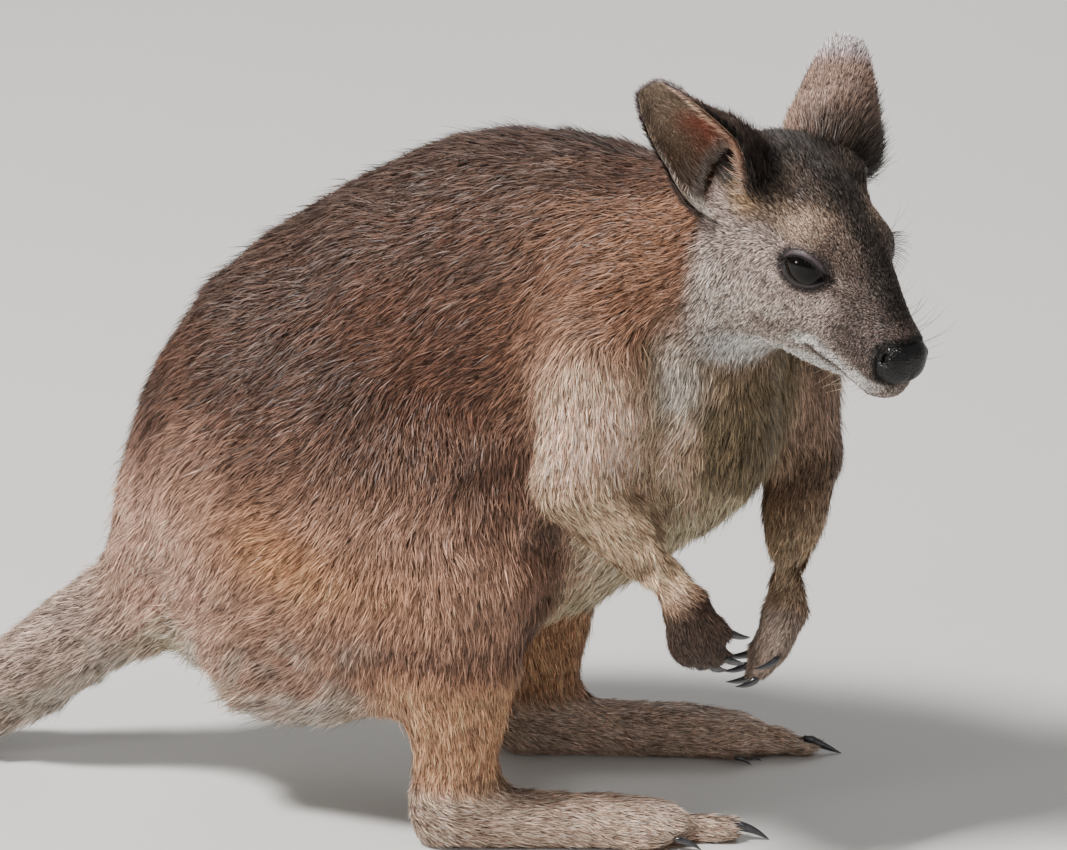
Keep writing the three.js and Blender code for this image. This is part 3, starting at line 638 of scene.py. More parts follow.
# ---- markings, with some painted shade and light
# Tones in 8-bit sRGB. Each tuft is darker than its tone at the root and lighter at the tip.
TONES = {
    "back": (68, 50, 43),
    "flank": (83, 54, 41),
    "haunch": (154, 118, 99),
    "rump": (180, 142, 124),
    "belly": (180, 164, 136),
    "rust": (180, 128, 90),
    "fawn": (228, 188, 162),
    "rufous": (120, 84, 63),
    # the chest's cream fur, painted darker as painted shade
    "cream_painted_shade": (100, 87, 62),
    # pale fur made whiter as painted light, on the near side of the neck only
    "pale_neck_painted_light": (220, 206, 192),
    "grey": (152, 135, 128),
    "pale_grey": (200, 186, 174),
    "dark": (22, 17, 17),
    "crown": (40, 31, 26),
    "forehead": (104, 86, 72),
    "snout": (78, 65, 61),
    "white": (252, 246, 238),
    "ochre": (172, 138, 98),
    "tail": (156, 134, 122),
    "tail_under": (180, 164, 150),
    "shank": (186, 138, 106),
    "foot": (204, 172, 152),
    "hand": (62, 46, 38),
    "far_hand": (142, 124, 112),
    "arm": (188, 156, 128),
    # dark brown of the tear duct patch, also laid as painted shade in the creases and on the far arm
    "duct_and_painted_shade": (52, 33, 26),
    "ear_back": (138, 112, 100),
    "ear_tip": (196, 178, 182),
    "ear_in": (156, 134, 114),
    "ear_pink": (196, 118, 98),
    "lid": (70, 59, 58),
    "bare_lid": (72, 61, 64),
    "lips": (66, 42, 34),
    "nose": (11, 9, 10),
}
TONE = {name: tone(*rgb) for name, rgb in TONES.items()}
MIDLINE_X = (-94, -52, -2, 46, 88, 116, 150)
MIDLINE_Y = (0, 0, -3, -15, -34, -53, -61)


# Patches of the face on each side: tear duct, before the ear, brow. Each is a tone, its
# strength, its middle and stretch in the head's axes, and where it fades in and is full.
FACE_SPOTS = (
    ("duct_and_painted_shade", 0.6, (20, 15, -3), (0.55, 0.6, 1.3), 5.5, 1.5),
    ("ochre", 0.4, (-27, 30, 17), (1, 1, 1), 11, 3),
    ("fawn", 0.15, (-3, 21, 17), (0.9, 0.6, 1.3), 12, 4),
)


def lay(colour, name, amount):
    """Lays a tone over a colour, by that much at each point."""
    return colour + (TONE[name] - colour) * np.clip(amount, 0, 1)[:, None]


def markings(points, normals, weights, broad):
    """The animal's colour at each point of its surface, with painted shade in the creases, the hollow
    between arm and thigh, on the far arm and on the chest, and painted light on the near side of the neck.
    """
    b, h = to_body(points), to_head(points)
    w, wide = dict(zip(ZONE_NAMES, weights.T)), dict(zip(ZONE_NAMES, broad.T))
    x, y, z = b.T
    out = np.abs(y - np.interp(x, MIDLINE_X, MIDLINE_Y))
    up = normals[:, 2]
    patchy = wobble(points, 0.03, 11)
    fine = wobble(points, 0.008, 12)

    c = np.tile(TONE["flank"], (len(points), 1))
    c = lay(c, "back", step(up + 0.15 * patchy, 0.1, 0.8) * step(x, 150, 60))
    low = z - 0.15 * (x + 60) + 12 * patchy
    c = lay(c, "haunch", step(low, 200, 112) * step(out, 30, 55))
    c = lay(c, "rump", 0.9 * step(x, -55, -115) * step(z + 10 * patchy, 190, 125))
    c = lay(c, "flank", 0.8 * step(z, 122, 80) * step(x, -40, 0) * step(out, 45, 65))
    band = z - 132 + 0.2 * (x + 45)
    rust = hill((x + 38) / 42, band / 17) * step(out, 30, 50)
    c = lay(c, "rust", 0.68 * rust * (1 + 0.35 * patchy))
    front = np.clip(wide["neck"] + wide["upper_arm"] + 0.8 * wide["trunk"] * step(x, 15, 95), 0, 1)
    c = lay(c, "rufous", front * step(up, 0.98, 0.5) * step(x, 10, 70))
    pale = 1.25 * front * step(z + 6 * patchy, 262, 208) * step(x, 46, 80)
    c = lay(c, "fawn", pale)

    # throat, chest and belly
    facing = normals @ unit(np.array([0.75, -0.2, -0.55]))
    share = wide["trunk"] + wide["neck"] + 0.5 * wide["upper_arm"] * step(out, 46, 30)
    chest = step(facing + 0.1 * fine, 0.3, 0.62) * step(x, 88, 112) * share
    belly = step(-up + 0.1 * fine, 0.25, 0.7) * step(out, 56, 34) * wide["trunk"]
    # The chest's pale fur, painted darker to stand for the shade on the chest.
    c = lay(c, "cream_painted_shade", 0.95 * np.clip(chest, 0, 1))
    c = lay(c, "belly", 0.95 * belly)
    # Pale fur with painted light: a whiter patch on the near side of the neck's front edge only.
    pale_neck_painted_light = hill((x - 121) / 9, (z - 234) / 17) * step(y, -66, -84)
    c = lay(c, "pale_neck_painted_light", 0.95 * pale_neck_painted_light * (wide["trunk"] + wide["neck"] + wide["upper_arm"]))
    under = step(-up + 0.12 * fine, 0.2, 0.75) * step(out, 20, 45) * step(x, 60, 10)
    c = lay(c, "pale_grey", 0.75 * under * (wide["thigh"] + wide["trunk"]))
    # Painted shade: darker where the upper arm meets the trunk, in the crease behind the arm.
    crease_shade = 4 * w["upper_arm"] * w["trunk"] * step(x, 92, 60) * step(z, 240, 190)
    c = lay(c, "duct_and_painted_shade", 0.75 * crease_shade)
    # Painted shade: darker in the hollow between the arm and the thigh.
    hollow_shade = hill((x - 62) / 13, (z - 168) / 32) * step(out, 30, 45)
    c = lay(c, "duct_and_painted_shade", 0.9 * hollow_shade * (w["trunk"] + w["thigh"]))
    c = lay(c, "dark", 0.4 * hill((x - 28) / 13, (z - 178) / 14) * step(out, 45, 60))

    # limbs and tail
    c = lay(c, "shank", step(wide["shank"], 0.12, 0.95))
    c = lay(c, "foot", w["foot"])
    c = lay(c, "arm", wide["forearm"])
    near = step(y - arm_split(x), 5, -5)
    paw = w["forearm"] * step(z, 150, 96) * 0.85 + w["hand"]
    c = lay(c, "hand", paw * near)
    c = lay(c, "arm", w["forearm"] * (1 - near))
    # Painted shade: the far arm is darkened from the shoulder down to about the elbow.
    far_arm_shade = (w["upper_arm"] + w["forearm"]) * (1 - near) * step(z, 138, 165)
    c = lay(c, "duct_and_painted_shade", 0.7 * far_arm_shade)
    c = lay(c, "far_hand", w["hand"] * (1 - near))
    c = lay(c, "tail", wide["tail"])
    c = lay(c, "tail_under", wide["tail"] * step(-up, 0.0, 0.7))

    # head
    hx, hy, hz = h.T
    side = np.abs(hy)
    on = step(0.6 * wide["head"] + 0.4 * w["head"] + w["nose"], 0.18, 0.8)
    face = np.tile(TONE["grey"], (len(points), 1))
    level = hz + 0.25 * hx + 1.5 * patchy
    face = lay(face, "pale_grey", step(level, -10, -26) * 0.35)
    face = lay(face, "forehead", step(level, 2, 12) * 0.95)
    face = lay(face, "snout", step(hx, 14, 30) * step(level, -26, -12))
    face = lay(face, "snout", 0.6 * step(hx, 0, 14) * step(level, 1, 8))
    face = lay(face, "crown", step(hz - 0.1 * hx, 19, 27) * step(hx, 24, 4) * 0.9)
    ridge = step(side, 10, 4) * step(hz - (14 - 0.55 * (hx - 10)), -9, 3)
    face = lay(face, "dark", 0.9 * ridge)
    face = lay(face, "dark", 0.9 * step(hx, -16, -32) * step(hz, 14, 24) * step(side, 38, 28))
    line, above = mouth_distance(h)
    smudge = hill((hz + 25 - 0.2 * hx) / 4.5) * step(hx, -22, -8) * step(hx, 22, 10)
    face = lay(face, "snout", 0.5 * smudge * (1 + 0.5 * fine))
    stripe = hill((line - 4.2) / 2.8) * (above > 0) * step(hx, 2, 14) * step(hx, 50, 42)
    face = lay(face, "white", 0.95 * stripe)
    jaw = step(hz - 0.2 * hx, -35, -39) * (1 - (above > 0) * step(line, 9, 6))
    face = lay(face, "white", 0.95 * jaw * step(hx, -34, -20))
    thick = 1.8 + 1.2 * hill((hx - 20) / 7)
    face = lay(face, "lips", np.exp(-((line / thick) ** 4)) * step(hx, 9, 14))
    chin = step(hx, 36, 44) * (above < 0) * step(line, 4, 1.5)
    face = lay(face, "lips", 0.7 * chin)
    for s in SIDES.values():
        face = lay(face, "lid", step(round_eye(h, s, (1, 1), (12.2, 8.6), 24), 1.16, 0.98))
        for name, amount, spot, stretch, outer, inner in FACE_SPOTS:
            away = reach_of((h - np.array(spot) * (1, s, 1)) * stretch)
            face = lay(face, name, amount * step(away, outer, inner))
    around = nose_reach(h - NOSE_AT - (1.5, 0, 0))
    face = lay(face, "snout", step(around, 1.5, 1.2) * step(hz, -34, -29))
    face = lay(face, "nose", step(around + 0.03 * fine, 1.16, 1.06) * step(hz, -34, -30))
    face = lay(face, "grey", 0.7 * step(hx, 40, 47) * step(hz, -30, -33) * (above > 0))
    return mix(c, face, on)


# ---- the lie of the coat
def lie(points, normals, weights):
    """The way each hair runs from root to tip, along the surface."""
    b, h = to_body(points), to_head(points)
    w = dict(zip(ZONE_NAMES, weights.T))
    x, y, z = b.T
    n = len(points)

    def same(v):
        return np.tile(unit(np.array(v, float)), (n, 1))

    down = step(x, 60, -120)[:, None]
    steep = 0.35 + 0.6 * down + 0.5 * step(x, 10, 80)[:, None]
    trunk = unit(same((-1, 0, -0.2)) + same((0, 0, -1)) * steep * step(normals[:, 2], 0.95, 0.2)[:, None])
    chest = unit(same((-0.25, 0.05, -1)))
    # on the haunch the hair fans out: steep behind, flat over the middle, straight down in front
    slope = np.interp(x, (-130, -95, -60, -25, 20), (62, 50, 34, 62, 94))
    slope = np.radians(mix(slope, 66, step(z, 85, 50)))
    fan = np.stack([-np.cos(slope), 0 * slope, -np.sin(slope)], 1)
    ahead = step(normals[:, 0], 0.1, 0.8)[:, None]
    sway = 0.25 * step(x, -330, -120) - 0.3 * step(x, -330, -420)
    flow = {
        "trunk": mix(trunk, chest, 0.85 * step(x, 84, 112)),
        "neck": unit(same((-0.75, 0.2, -0.65)) + same((0.3, 0, -0.8)) * ahead),
        "thigh": fan,
        "shank": same((0.05, 0, -1)),
        "foot": same((1, math.tan(math.radians(12)), -0.12)),
        "tail": unit(np.stack([-np.ones(n), sway, -0.55 * step(x, -230, -180)], 1)),
    }
    left = (y > arm_split(x)).astype(float)
    for part in ("upper_arm", "forearm", "hand"):
        ways = [ARM_WAYS[name][part] for name in ("right", "left")]
        flow[part] = mix(same(ways[0]), same(ways[1]), left)
    hx, hy, hz = h.T
    level = hz + 0.22 * hx
    rise = np.interp(level, (-9, -3, 3, 11), (-1.9, -1.0, 0.0, 0.6))
    rise = mix(rise, 0.15, step(hx, -15, -35) * step(hz, -15, 0))
    back = np.stack([-np.ones(n), 0.3 * np.sign(hy) * step(np.abs(hy), 3, 16), rise], 1)
    back[:, 0] += 0.55 * step(hx, 15, 35) * step(level, 4, -4)
    flow["head"] = unit(head_way(back))
    flow["nose"] = flow["head"]
    flow["ear"] = same((0, 0, 1))
    total = sum(w[k][:, None] * v for k, v in flow.items())
    for amount, size, seed in ((0.2, 0.026, 21), (0.16, 0.009, 24)):
        total = total + amount * np.stack([wobble(points, size, seed + i) for i in range(3)], 1)
    return flattened(total, normals)


ARM_WAYS = {}
for _name in SIDES:
    _upper, _fore, _hand = (middle(f"{p}_{_name}") for p in ("upper_arm", "forearm", "hand"))
    _claws = np.mean([middle(f"finger_claw_{f}_{_name}") for f in ("index", "middle", "ring")], axis=0)
    ARM_WAYS[_name] = {
        "upper_arm": unit((_fore - _upper) * (0.6, 0.6, 1)),
        "forearm": unit(_hand - _fore),
        "hand": unit(_claws - _hand),
    }


def arm_split(x):
    """The y between the two arms, in the part's own millimetres."""
    return np.interp(x, (60, 175), (-30, -72))


# ---- tufts
LIGHT_TIP, DARK_TIP = tone(232, 214, 194), tone(24, 19, 18)


class Roots:
    """Places for tufts, spread over a mesh's triangles."""

    def __init__(self, points, triangles, density, rng):
        a, b, c = (points[triangles[:, i]] for i in range(3))
        area = 0.5 * reach_of(np.cross(b - a, c - a)) / MM**2
        expected = area * density[triangles].mean(axis=1)
        count = np.floor(expected + rng.random(len(expected))).astype(int)
        self.which = np.repeat(np.arange(len(triangles)), count)
        self.corners = triangles[self.which]
        a, b = rng.random((2, len(self.which)))
        flip = a + b > 1
        a[flip], b[flip] = 1 - a[flip], 1 - b[flip]
        self.share = np.stack([1 - a - b, a, b], 1)

    def blend(self, values):
        """The value at each root, from those at its triangle's three corners."""
        return np.einsum("ij,ijk->ik", self.share, values)

    def at(self, values):
        """The value at each root, from those at the mesh's points."""
        return self.blend(values[self.corners])


BLADE = np.array([[0, 2, 1], [1, 2, 3]])  # root, middle left, middle right, tip
BLADE_PATCH = np.array([[0, -0.5], [-0.5, 0], [0.5, 0], [0, 0.5]])  # the same points on the unwrap
GUARD_SHARE = 0.1  # longer hairs that stand a little out of the rest
TIP_LIFT = 0.4  # the outer half's lift off the skin, as a share of the lower half's
FLOOR = 0.0002  # no hair goes below this height, in metres


def grow(roots, normals, way, length, width, lift, base, rng, grizzle, pepper):
    """A kite-shaped blade for each root, with colours from root to tip. grizzle is the share of
    pale-tipped hairs. pepper, from 0 to 1, darkens the middle of each hair and lightens its tip."""
    n = len(roots)
    guard = rng.random(n) < GUARD_SHARE
    length = length * rng.uniform(0.75, 1.2, n) * (1 + 0.28 * guard)
    lift = np.radians(lift * rng.uniform(0.6, 1.4, n) * (1 + 0.5 * guard))
    way = flattened(unit(way + 0.13 * rng.normal(size=(n, 3))), normals)
    side = np.cross(way, normals)
    side = unit(side + normals * rng.uniform(-0.5, 0.5, (n, 1)))
    first = way * np.cos(lift)[:, None] + normals * np.sin(lift)[:, None]
    low = lift * TIP_LIFT
    bend = side * rng.uniform(-0.18, 0.18, (n, 1))
    second = unit(way * np.cos(low)[:, None] + normals * np.sin(low)[:, None] + bend)
    half = side * (width / 2)[:, None] * MM
    mid = roots + first * (length * 0.45)[:, None] * MM
    tip = mid + second * (length * 0.55)[:, None] * MM
    points = np.stack([roots, mid - half, mid + half, tip], 1)
    points[..., 2] = np.maximum(points[..., 2], FLOOR)
    faces = (BLADE[None] + 4 * np.arange(n)[:, None, None]).reshape(-1, 3)

    shade = np.exp((0.36 + 0.12 * pepper)[:, None] * rng.normal(size=(n, 1)))
    kind = rng.random(n)
    light = (kind < grizzle)[:, None] * rng.uniform(0.3, 0.9, (n, 1))
    dark = (kind > 1 - 0.55 * grizzle)[:, None] * rng.uniform(0.5, 0.95, (n, 1))
    hue = base * shade
    pale = np.clip(base * 2.1 + LIGHT_TIP * 0.11, 0, 0.85)
    end = np.clip(hue + (pale - hue) * light + (DARK_TIP - hue) * dark, 0.003, 0.9)
    middle = hue * (0.74 - 0.34 * pepper)[:, None] + 0.12 * end
    colours = np.stack([hue * 0.2, middle, middle, end * (1.12 + 0.38 * pepper)[:, None]], 1)
    lean = np.cross(first, side)
    lean = lean * np.sign(np.sum(lean * normals, 1, keepdims=True))
    shading = unit(normals + 0.35 * lean + 0.3 * rng.normal(size=(n, 3)))
    return points.reshape(-1, 3), faces, colours.reshape(-1, 3), np.repeat(shading, 4, axis=0)


PATCH = 0.003  # the width of a tuft's place on the unwrap


def coat_piece(name, blades, uv, material):
    """A coat mesh with its colours, soft normals and its place on the skin's unwrap."""
    points, faces, colours, shading = blades
    piece = new_mesh(name, points, faces)
    mesh = piece.data
    paint(mesh, "coat", colours)
    corner = np.tile(BLADE_PATCH, (len(points) // 4, 1))
    at = np.repeat(uv, 4, axis=0) + corner * PATCH
    layer = mesh.uv_layers.new(name="OFBake")
    layer.data.foreach_set("uv", at[faces.ravel()].astype(np.float32).ravel())
    mesh.normals_split_custom_set_from_vertices(shading.astype(np.float32).tolist())
    dress(piece, material, "fur")
    return piece


def unwrap(mesh_object):
    """A mesh's triangles, and the unwrap's uv at their corners."""
    bpy.ops.object.select_all(action="DESELECT")
    bpy.context.view_layer.objects.active = mesh_object
    mesh_object.select_set(True)
    bpy.ops.object.mode_set(mode="EDIT")
    bpy.ops.mesh.select_all(action="SELECT")
    bpy.ops.uv.smart_project(angle_limit=math.radians(66), island_margin=0.002)
    bpy.ops.object.mode_set(mode="OBJECT")
    layer = mesh_object.data.uv_layers.active
    layer.name = "OFBake"
    uv = read(layer.data, "uv", 2)
    mesh_object.data.calc_loop_triangles()
    triangles = mesh_object.data.loop_triangles
    corners = read(triangles, "loops", 3, np.int32)
    return read(triangles, "vertices", 3, np.int32), uv[corners]


# ---- materials
def noise(tree, scale, detail=3, stretch=None):
    texture = tree.nodes.new("ShaderNodeTexNoise")
    texture.inputs["Scale"].default_value = scale
    texture.inputs["Detail"].default_value = detail
    where = tree.nodes.new("ShaderNodeTexCoord").outputs["Object"]
    if stretch:
        mapping = tree.nodes.new("ShaderNodeMapping")
        mapping.inputs["Scale"].default_value = stretch
        tree.links.new(where, mapping.inputs["Vector"])
        where = mapping.outputs["Vector"]
    tree.links.new(where, texture.inputs["Vector"])
    return texture.outputs["Fac"]


def cells(tree, scale):
    texture = tree.nodes.new("ShaderNodeTexVoronoi")
    texture.inputs["Scale"].default_value = scale
    where = tree.nodes.new("ShaderNodeTexCoord").outputs["Object"]
    tree.links.new(where, texture.inputs["Vector"])
    return texture.outputs["Distance"]


def ramp(tree, source, *stops):
    node = tree.nodes.new("ShaderNodeValToRGB")
    for element, (at, colour) in zip(node.color_ramp.elements, stops):
        element.position = at
        element.color = (*colour, 1)
    tree.links.new(source, node.inputs["Fac"])
    return node.outputs["Color"]


def multiply(tree, a, b):
    node = tree.nodes.new("ShaderNodeMix")
    node.data_type = "RGBA"
    node.blend_type = "MULTIPLY"
    node.inputs["Factor"].default_value = 1
    tree.links.new(a, node.inputs[6])
    tree.links.new(b, node.inputs[7])
    return node.outputs[2]


def finish(name, roughness, specular, grain, low, high, painted=False, sheen=0.0, coat=0.0):
    """A material, its nodes and its shader. Its colour runs from the low to the high stop with a noise of
    that grain (scale, detail and stretch), times the colours painted on the mesh if it is painted: its
    markings, and on the skin and coat also some painted shade and light."""
    made = bpy.data.materials.new(name)
    made.use_nodes = True
    tree = made.node_tree
    principled = tree.nodes["Principled BSDF"]
    looks = {
        "Roughness": roughness, "Specular IOR Level": specular, "Sheen Weight": sheen,
        "Sheen Roughness": 0.4, "Coat Weight": coat, "Coat Roughness": 0.06,
    }
    for key, value in looks.items():
        principled.inputs[key].default_value = value
    colour = ramp(tree, noise(tree, *grain), low, high)
    if painted:
        painted_colours_node = tree.nodes.new("ShaderNodeAttribute")
        painted_colours_node.attribute_name = "coat"
        colour = multiply(tree, painted_colours_node.outputs["Color"], colour)
    tree.links.new(colour, principled.inputs["Base Color"])
    return made, tree, principled


def bump(tree, principled, height, distance, strength=1.0):
    node = tree.nodes.new("ShaderNodeBump")
    node.inputs["Distance"].default_value = distance
    node.inputs["Strength"].default_value = strength
    tree.links.new(height, node.inputs["Height"])
    tree.links.new(node.outputs["Normal"], principled.inputs["Normal"])


def rough(made, tree, principled, grain, distance, strength=1.0):
    """Adds a bump of noise to a finish."""
    bump(tree, principled, noise(tree, *grain), distance, strength)
    return made


def leather(name, colour, roughness, scale, depth, coat):
    """A cellular surface: the nose, and the bristles of the whiskers."""
    low, high = (0.3, tuple(colour * 0.6)), (0.75, tuple(colour * 1.5))
    made, tree, principled = finish(name, roughness, 0.25, (scale * 0.4,), low, high, coat=coat)
    bump(tree, principled, cells(tree, scale), depth, 0.8)
    return made


def even(value):
    return (value, value, value)


fur = finish("coat_hair", 0.42, 0.22, (260, 2), (0.3, (0.82, 0.81, 0.8)), (0.7, (1.12, 1.11, 1.1)),
             painted=True, sheen=0.02)[0]
under = rough(
    *finish("skin_under_coat", 0.65, 0.3, (900, 4), (0.3, even(0.6)), (0.7, even(1.2)), painted=True),
    (1400, 4), 0.0006)
lid_finish = rough(
    *finish("lid_leather", 0.4, 0.35, (700, 3), (0.3, even(0.75)), (0.7, even(1.2)), painted=True, coat=0.1),
    (1600, 3), 0.0003, 0.8)
gloss = rough(
    *finish("eye_gloss", 0.04, 0.2, (220, 4), (0.35, tone(5, 4, 4)), (0.7, tone(14, 9, 8))),
    (500, 2), 0.00001, 0.2)
horn_finish = rough(
    *finish("claw_horn", 0.22, 0.6, (500, 3, (1, 1, 0.25)), (0.3, tone(16, 16, 20)),
            (0.75, tone(48, 46, 54)), coat=0.6),
    (900, 3, (1, 1, 0.2)), 0.0002, 0.6)
bristle = leather("bristle_dark", tone(36, 28, 24), 0.5, 2500, 0.00005, 0.0)
pale_bristle = leather("bristle_pale", tone(196, 180, 150), 0.5, 2500, 0.00005, 0.0)
wet_leather = leather("nose_leather", tone(10, 8, 9), 0.31, 1150, 0.0005, 0.1)


# ---- building it
skin_mesh, skin_points, skin_weights, skin_broad = make_skin()
skin = bpy.data.objects.new("skin", skin_mesh)
bpy.context.collection.objects.link(skin)
dress(skin, under, "fur", *FLESH)
skin_normals = points_of(skin_mesh, "normal")
skin_colours = markings(skin_points, skin_normals, skin_weights, skin_broad)
paint(skin_mesh, "coat", skin_colours * 0.4)
skin_triangles, skin_uv = unwrap(skin)


def bare_share(points):
    """1 where no hair grows: the nose pad, the lids and the lips."""
    h = to_head(points)
    bare = step(nose_reach(h - NOSE_AT), 1.06, 0.98)
    line, _ = mouth_distance(h)
    bare = np.maximum(bare, step(line, 1.2, 0.7) * step(h[:, 0], 9, 14))
    for side in SIDES.values():
        flat = round_eye(h, side, (0.7, 1.2), (10.8, 7.6), 19)
        bare = np.maximum(bare, step(flat, 1.1, 0.98))
    return bare


def hair_length(roots, weights):
    """Shorter toward the nose, round the eyes and on the lips; longer on the nape and low rump."""
    h, b = to_head(roots), to_body(roots)
    on_head = zone_share(weights, "head", "nose")
    length = zone_values(weights, "hair") * (1 - 0.55 * on_head * step(h[:, 0], -20, 35))
    length *= 1 + 0.5 * on_head * step(h[:, 0], -18, -36) * step(h[:, 2], 12, 26)
    for side in SIDES.values():
        away = reach_of(h - EYE_AT * (1, side, 1))
        length *= 0.5 + 0.5 * step(away, 13, 22)
    line, _ = mouth_distance(h)
    length *= 1 - 0.6 * on_head * step(line, 7, 1.5) * step(h[:, 0], 4, 14)
    low = step(b[:, 2], 95, 60) * step(b[:, 0], -20, -60) * zone_share(weights, "trunk")
    return length * (1 + 0.4 * low)


GROUPS = {
    "head": ("head", "nose"), "neck": ("neck",), "trunk": ("trunk",), "haunch": ("thigh",),
    "leg": ("shank", "foot"), "arm": ("upper_arm", "forearm", "hand"), "tail": ("tail",),
}
PIECE_TUFTS = 94000  # keeps a piece under 200,000 triangles


def streaks(roots, way, size, seed):
    """Noise drawn out along the lie of the coat, as locks of hair that part and meet."""
    along = np.sum(roots * way, axis=1, keepdims=True) * way
    return wobble(roots - 0.72 * along, size, seed)


def grow_coat():
    rng = np.random.default_rng(19)
    density = zone_values(skin_weights, "density") * (1 - bare_share(skin_points))
    places = Roots(skin_points, skin_triangles, density, rng)
    roots = places.at(skin_points)
    normals = unit(places.at(skin_normals))
    weights = places.at(skin_weights)
    uv = places.blend(skin_uv[places.which])
    base = places.at(skin_colours)
    way = lie(roots, normals, weights)
    width, lift = zone_values(weights, "width"), zone_values(weights, "lift")
    length = hair_length(roots, weights)
    on_body = step(length, 4.5, 7)
    locks = streaks(roots, way, 0.006, 31) + 0.6 * streaks(roots, way, 0.003, 33)
    speckle = np.clip(streaks(roots, way, 0.0015, 35), -1.3, 1.3)
    pepper = zone_share(weights, "head", "nose")
    length = length * (1 + 0.12 * locks * on_body)
    lift = lift * (1 + 0.25 * locks * on_body)
    mottle = (0.14 + 0.12 * on_body) * np.clip(locks, -1.3, 1.3) + (0.2 + 0.2 * pepper) * speckle
    base = base * np.maximum(1 + mottle, 0.25)[:, None]
    grizzle = 0.5 + 0.12 * wobble(roots, 0.02, 32) + 0.1 * pepper
    zone = np.argmax(weights, axis=1)
    for group, zones in GROUPS.items():
        picked = np.flatnonzero(np.isin(zone, [ZONE_NAMES.index(z) for z in zones]))
        picked = picked[np.argsort(roots[picked, 1], kind="stable")]
        for i, part in enumerate(np.array_split(picked, math.ceil(len(picked) / PIECE_TUFTS))):
            blades = grow(roots[part], normals[part], way[part], length[part], width[part],
                          lift[part], base[part], rng, grizzle[part], pepper[part])
            coat_piece(f"coat_{group}_{i + 1}", blades, uv[part], fur)


grow_coat()


# ---- ears
def ear_tones(points, inside, t, front):
    """The ear's markings: brown back with a pale, cool tip, brown cup that is pink in front."""
    n = len(points)
    patchy = wobble(points, 0.009, 41)
    back = np.tile(TONE["ear_back"], (n, 1))
    back = lay(back, "ear_tip", step(t, 0.66, 0.88))
    back = lay(back, "crown", 0.85 * step(t, 0.36, 0.08) * step(front, -0.5, 0.1))
    cup = np.tile(TONE["ear_in"], (n, 1))
    cup = lay(cup, "ear_pink", 0.9 * step(t, 0.72, 0.4) * step(front, -0.55, 0.1))
    blotches = step(patchy, 0.1, 0.6) * step(t, 0.3, 0.6)
    cup = lay(cup, "crown", 0.35 * blotches + 0.3 * step(front, -0.5, -0.95))
    cup = lay(cup, "fawn", 0.7 * step(front, 0.8, 0.95))
    cup = lay(cup, "pale_grey", 0.6 * step(t, 0.3, 0.12) * step(patchy, -0.5, 0.3))
    cup = lay(cup, "white", 0.25 * step(-front, 0.95, 1.0) * step(t, 0.6, 0.4) + 0.6 * step(t, 0.14, 0.02))
    return mix(back, cup, inside)


def make_ear(name):
    points, faces, inside, t, s = ear_skin(name)
    ear = new_mesh(f"ear_{name}_skin", points, faces)
    normals = points_of(ear.data, "normal")
    front = -SIDES[name] * s
    colours = ear_tones(points, inside, t, front)
    paint(ear.data, "coat", colours * mix(0.45, 0.8, inside)[:, None])
    dress(ear, under, "fur", f"ear_{name}")
    triangles, uv = unwrap(ear)
    rng = np.random.default_rng(51 + SIDES[name])
    fringe = step(np.abs(s), 0.7, 0.98)
    density = mix(6.6, 1.6 + 3.2 * fringe, inside) * step(t, -0.05, 0.03)
    places = Roots(points, triangles, density, rng)
    roots = places.at(points)
    n = unit(places.at(normals))
    inner, tt, ss, ff = (places.at(v[:, None])[:, 0] for v in (inside, t, s, front))
    inner = (inner > 0.5).astype(float)
    edge = step(np.abs(ss), 0.86, 1.0)
    up, _, across = (head_way(v) for v in ear_axes(name))
    inward = 0.9 * inner * np.sign(ss) * step(np.abs(ss), 0.35, 0.85)
    way = up + across * (0.4 * ss * (1 - inner) - inward)[:, None]
    way = flattened(way, n)
    radiating = inner * step(ff, 0.5, 0.85) * step(tt, 0.8, 0.5)
    tuft = (1 - inner) * step(ff, -0.1, 0.5) * step(tt, 0.75, 0.35)
    length = mix(4.0, 3.0, inner) * (1 + 0.9 * step(tt, 0.35, 0.0)) * (1 + 1.2 * radiating + 0.6 * tuft)
    base = places.at(colours)
    base = lay(base, "fawn", 0.6 * radiating)
    base = lay(base, "dark", 0.75 * (1 - inner) * edge * step(tt, 0.9, 0.6) + 0.5 * tuft)
    lift = (mix(22, 14, inner) + 12 * edge + 14 * tuft) * (1 - 0.4 * step(tt, 0.8, 0.94))
    grizzle = mix(0.55, 0.2, inner)
    blades = grow(roots, n, way, length, np.full(len(roots), 0.3), lift, base, rng, grizzle, 1 - inner)
    coat_piece(f"coat_ear_{name}", blades, places.blend(uv[places.which]), fur)


for _name in SIDES:
    make_ear(_name)


# ---- eyes and lids
def make_eye(name):
    """A glass eyeball with a slightly raised cornea."""
    axis = head_way(eye_axes(SIDES[name])[0])
    points, faces = ball(np.zeros(3), 1, 40, 64)
    points = unit(points)
    facing = points @ axis
    radius = EYE_RADIUS + 0.35 * step(facing, 0.7, 0.9)
    eye = new_mesh(f"eyeball_{name}", EYES[name] + points * radius[:, None] * MM, faces)
    dress(eye, gloss, "eye", f"eye_{name}")

    points, faces, outward = lid_skin(name)
    lid = new_mesh(f"lid_{name}", points, faces)
    tones = np.tile(TONE["nose"], (len(points), 1))
    paint(lid.data, "coat", lay(tones, "bare_lid", step(outward, 3, 8)))
    dress(lid, lid_finish, "nose")


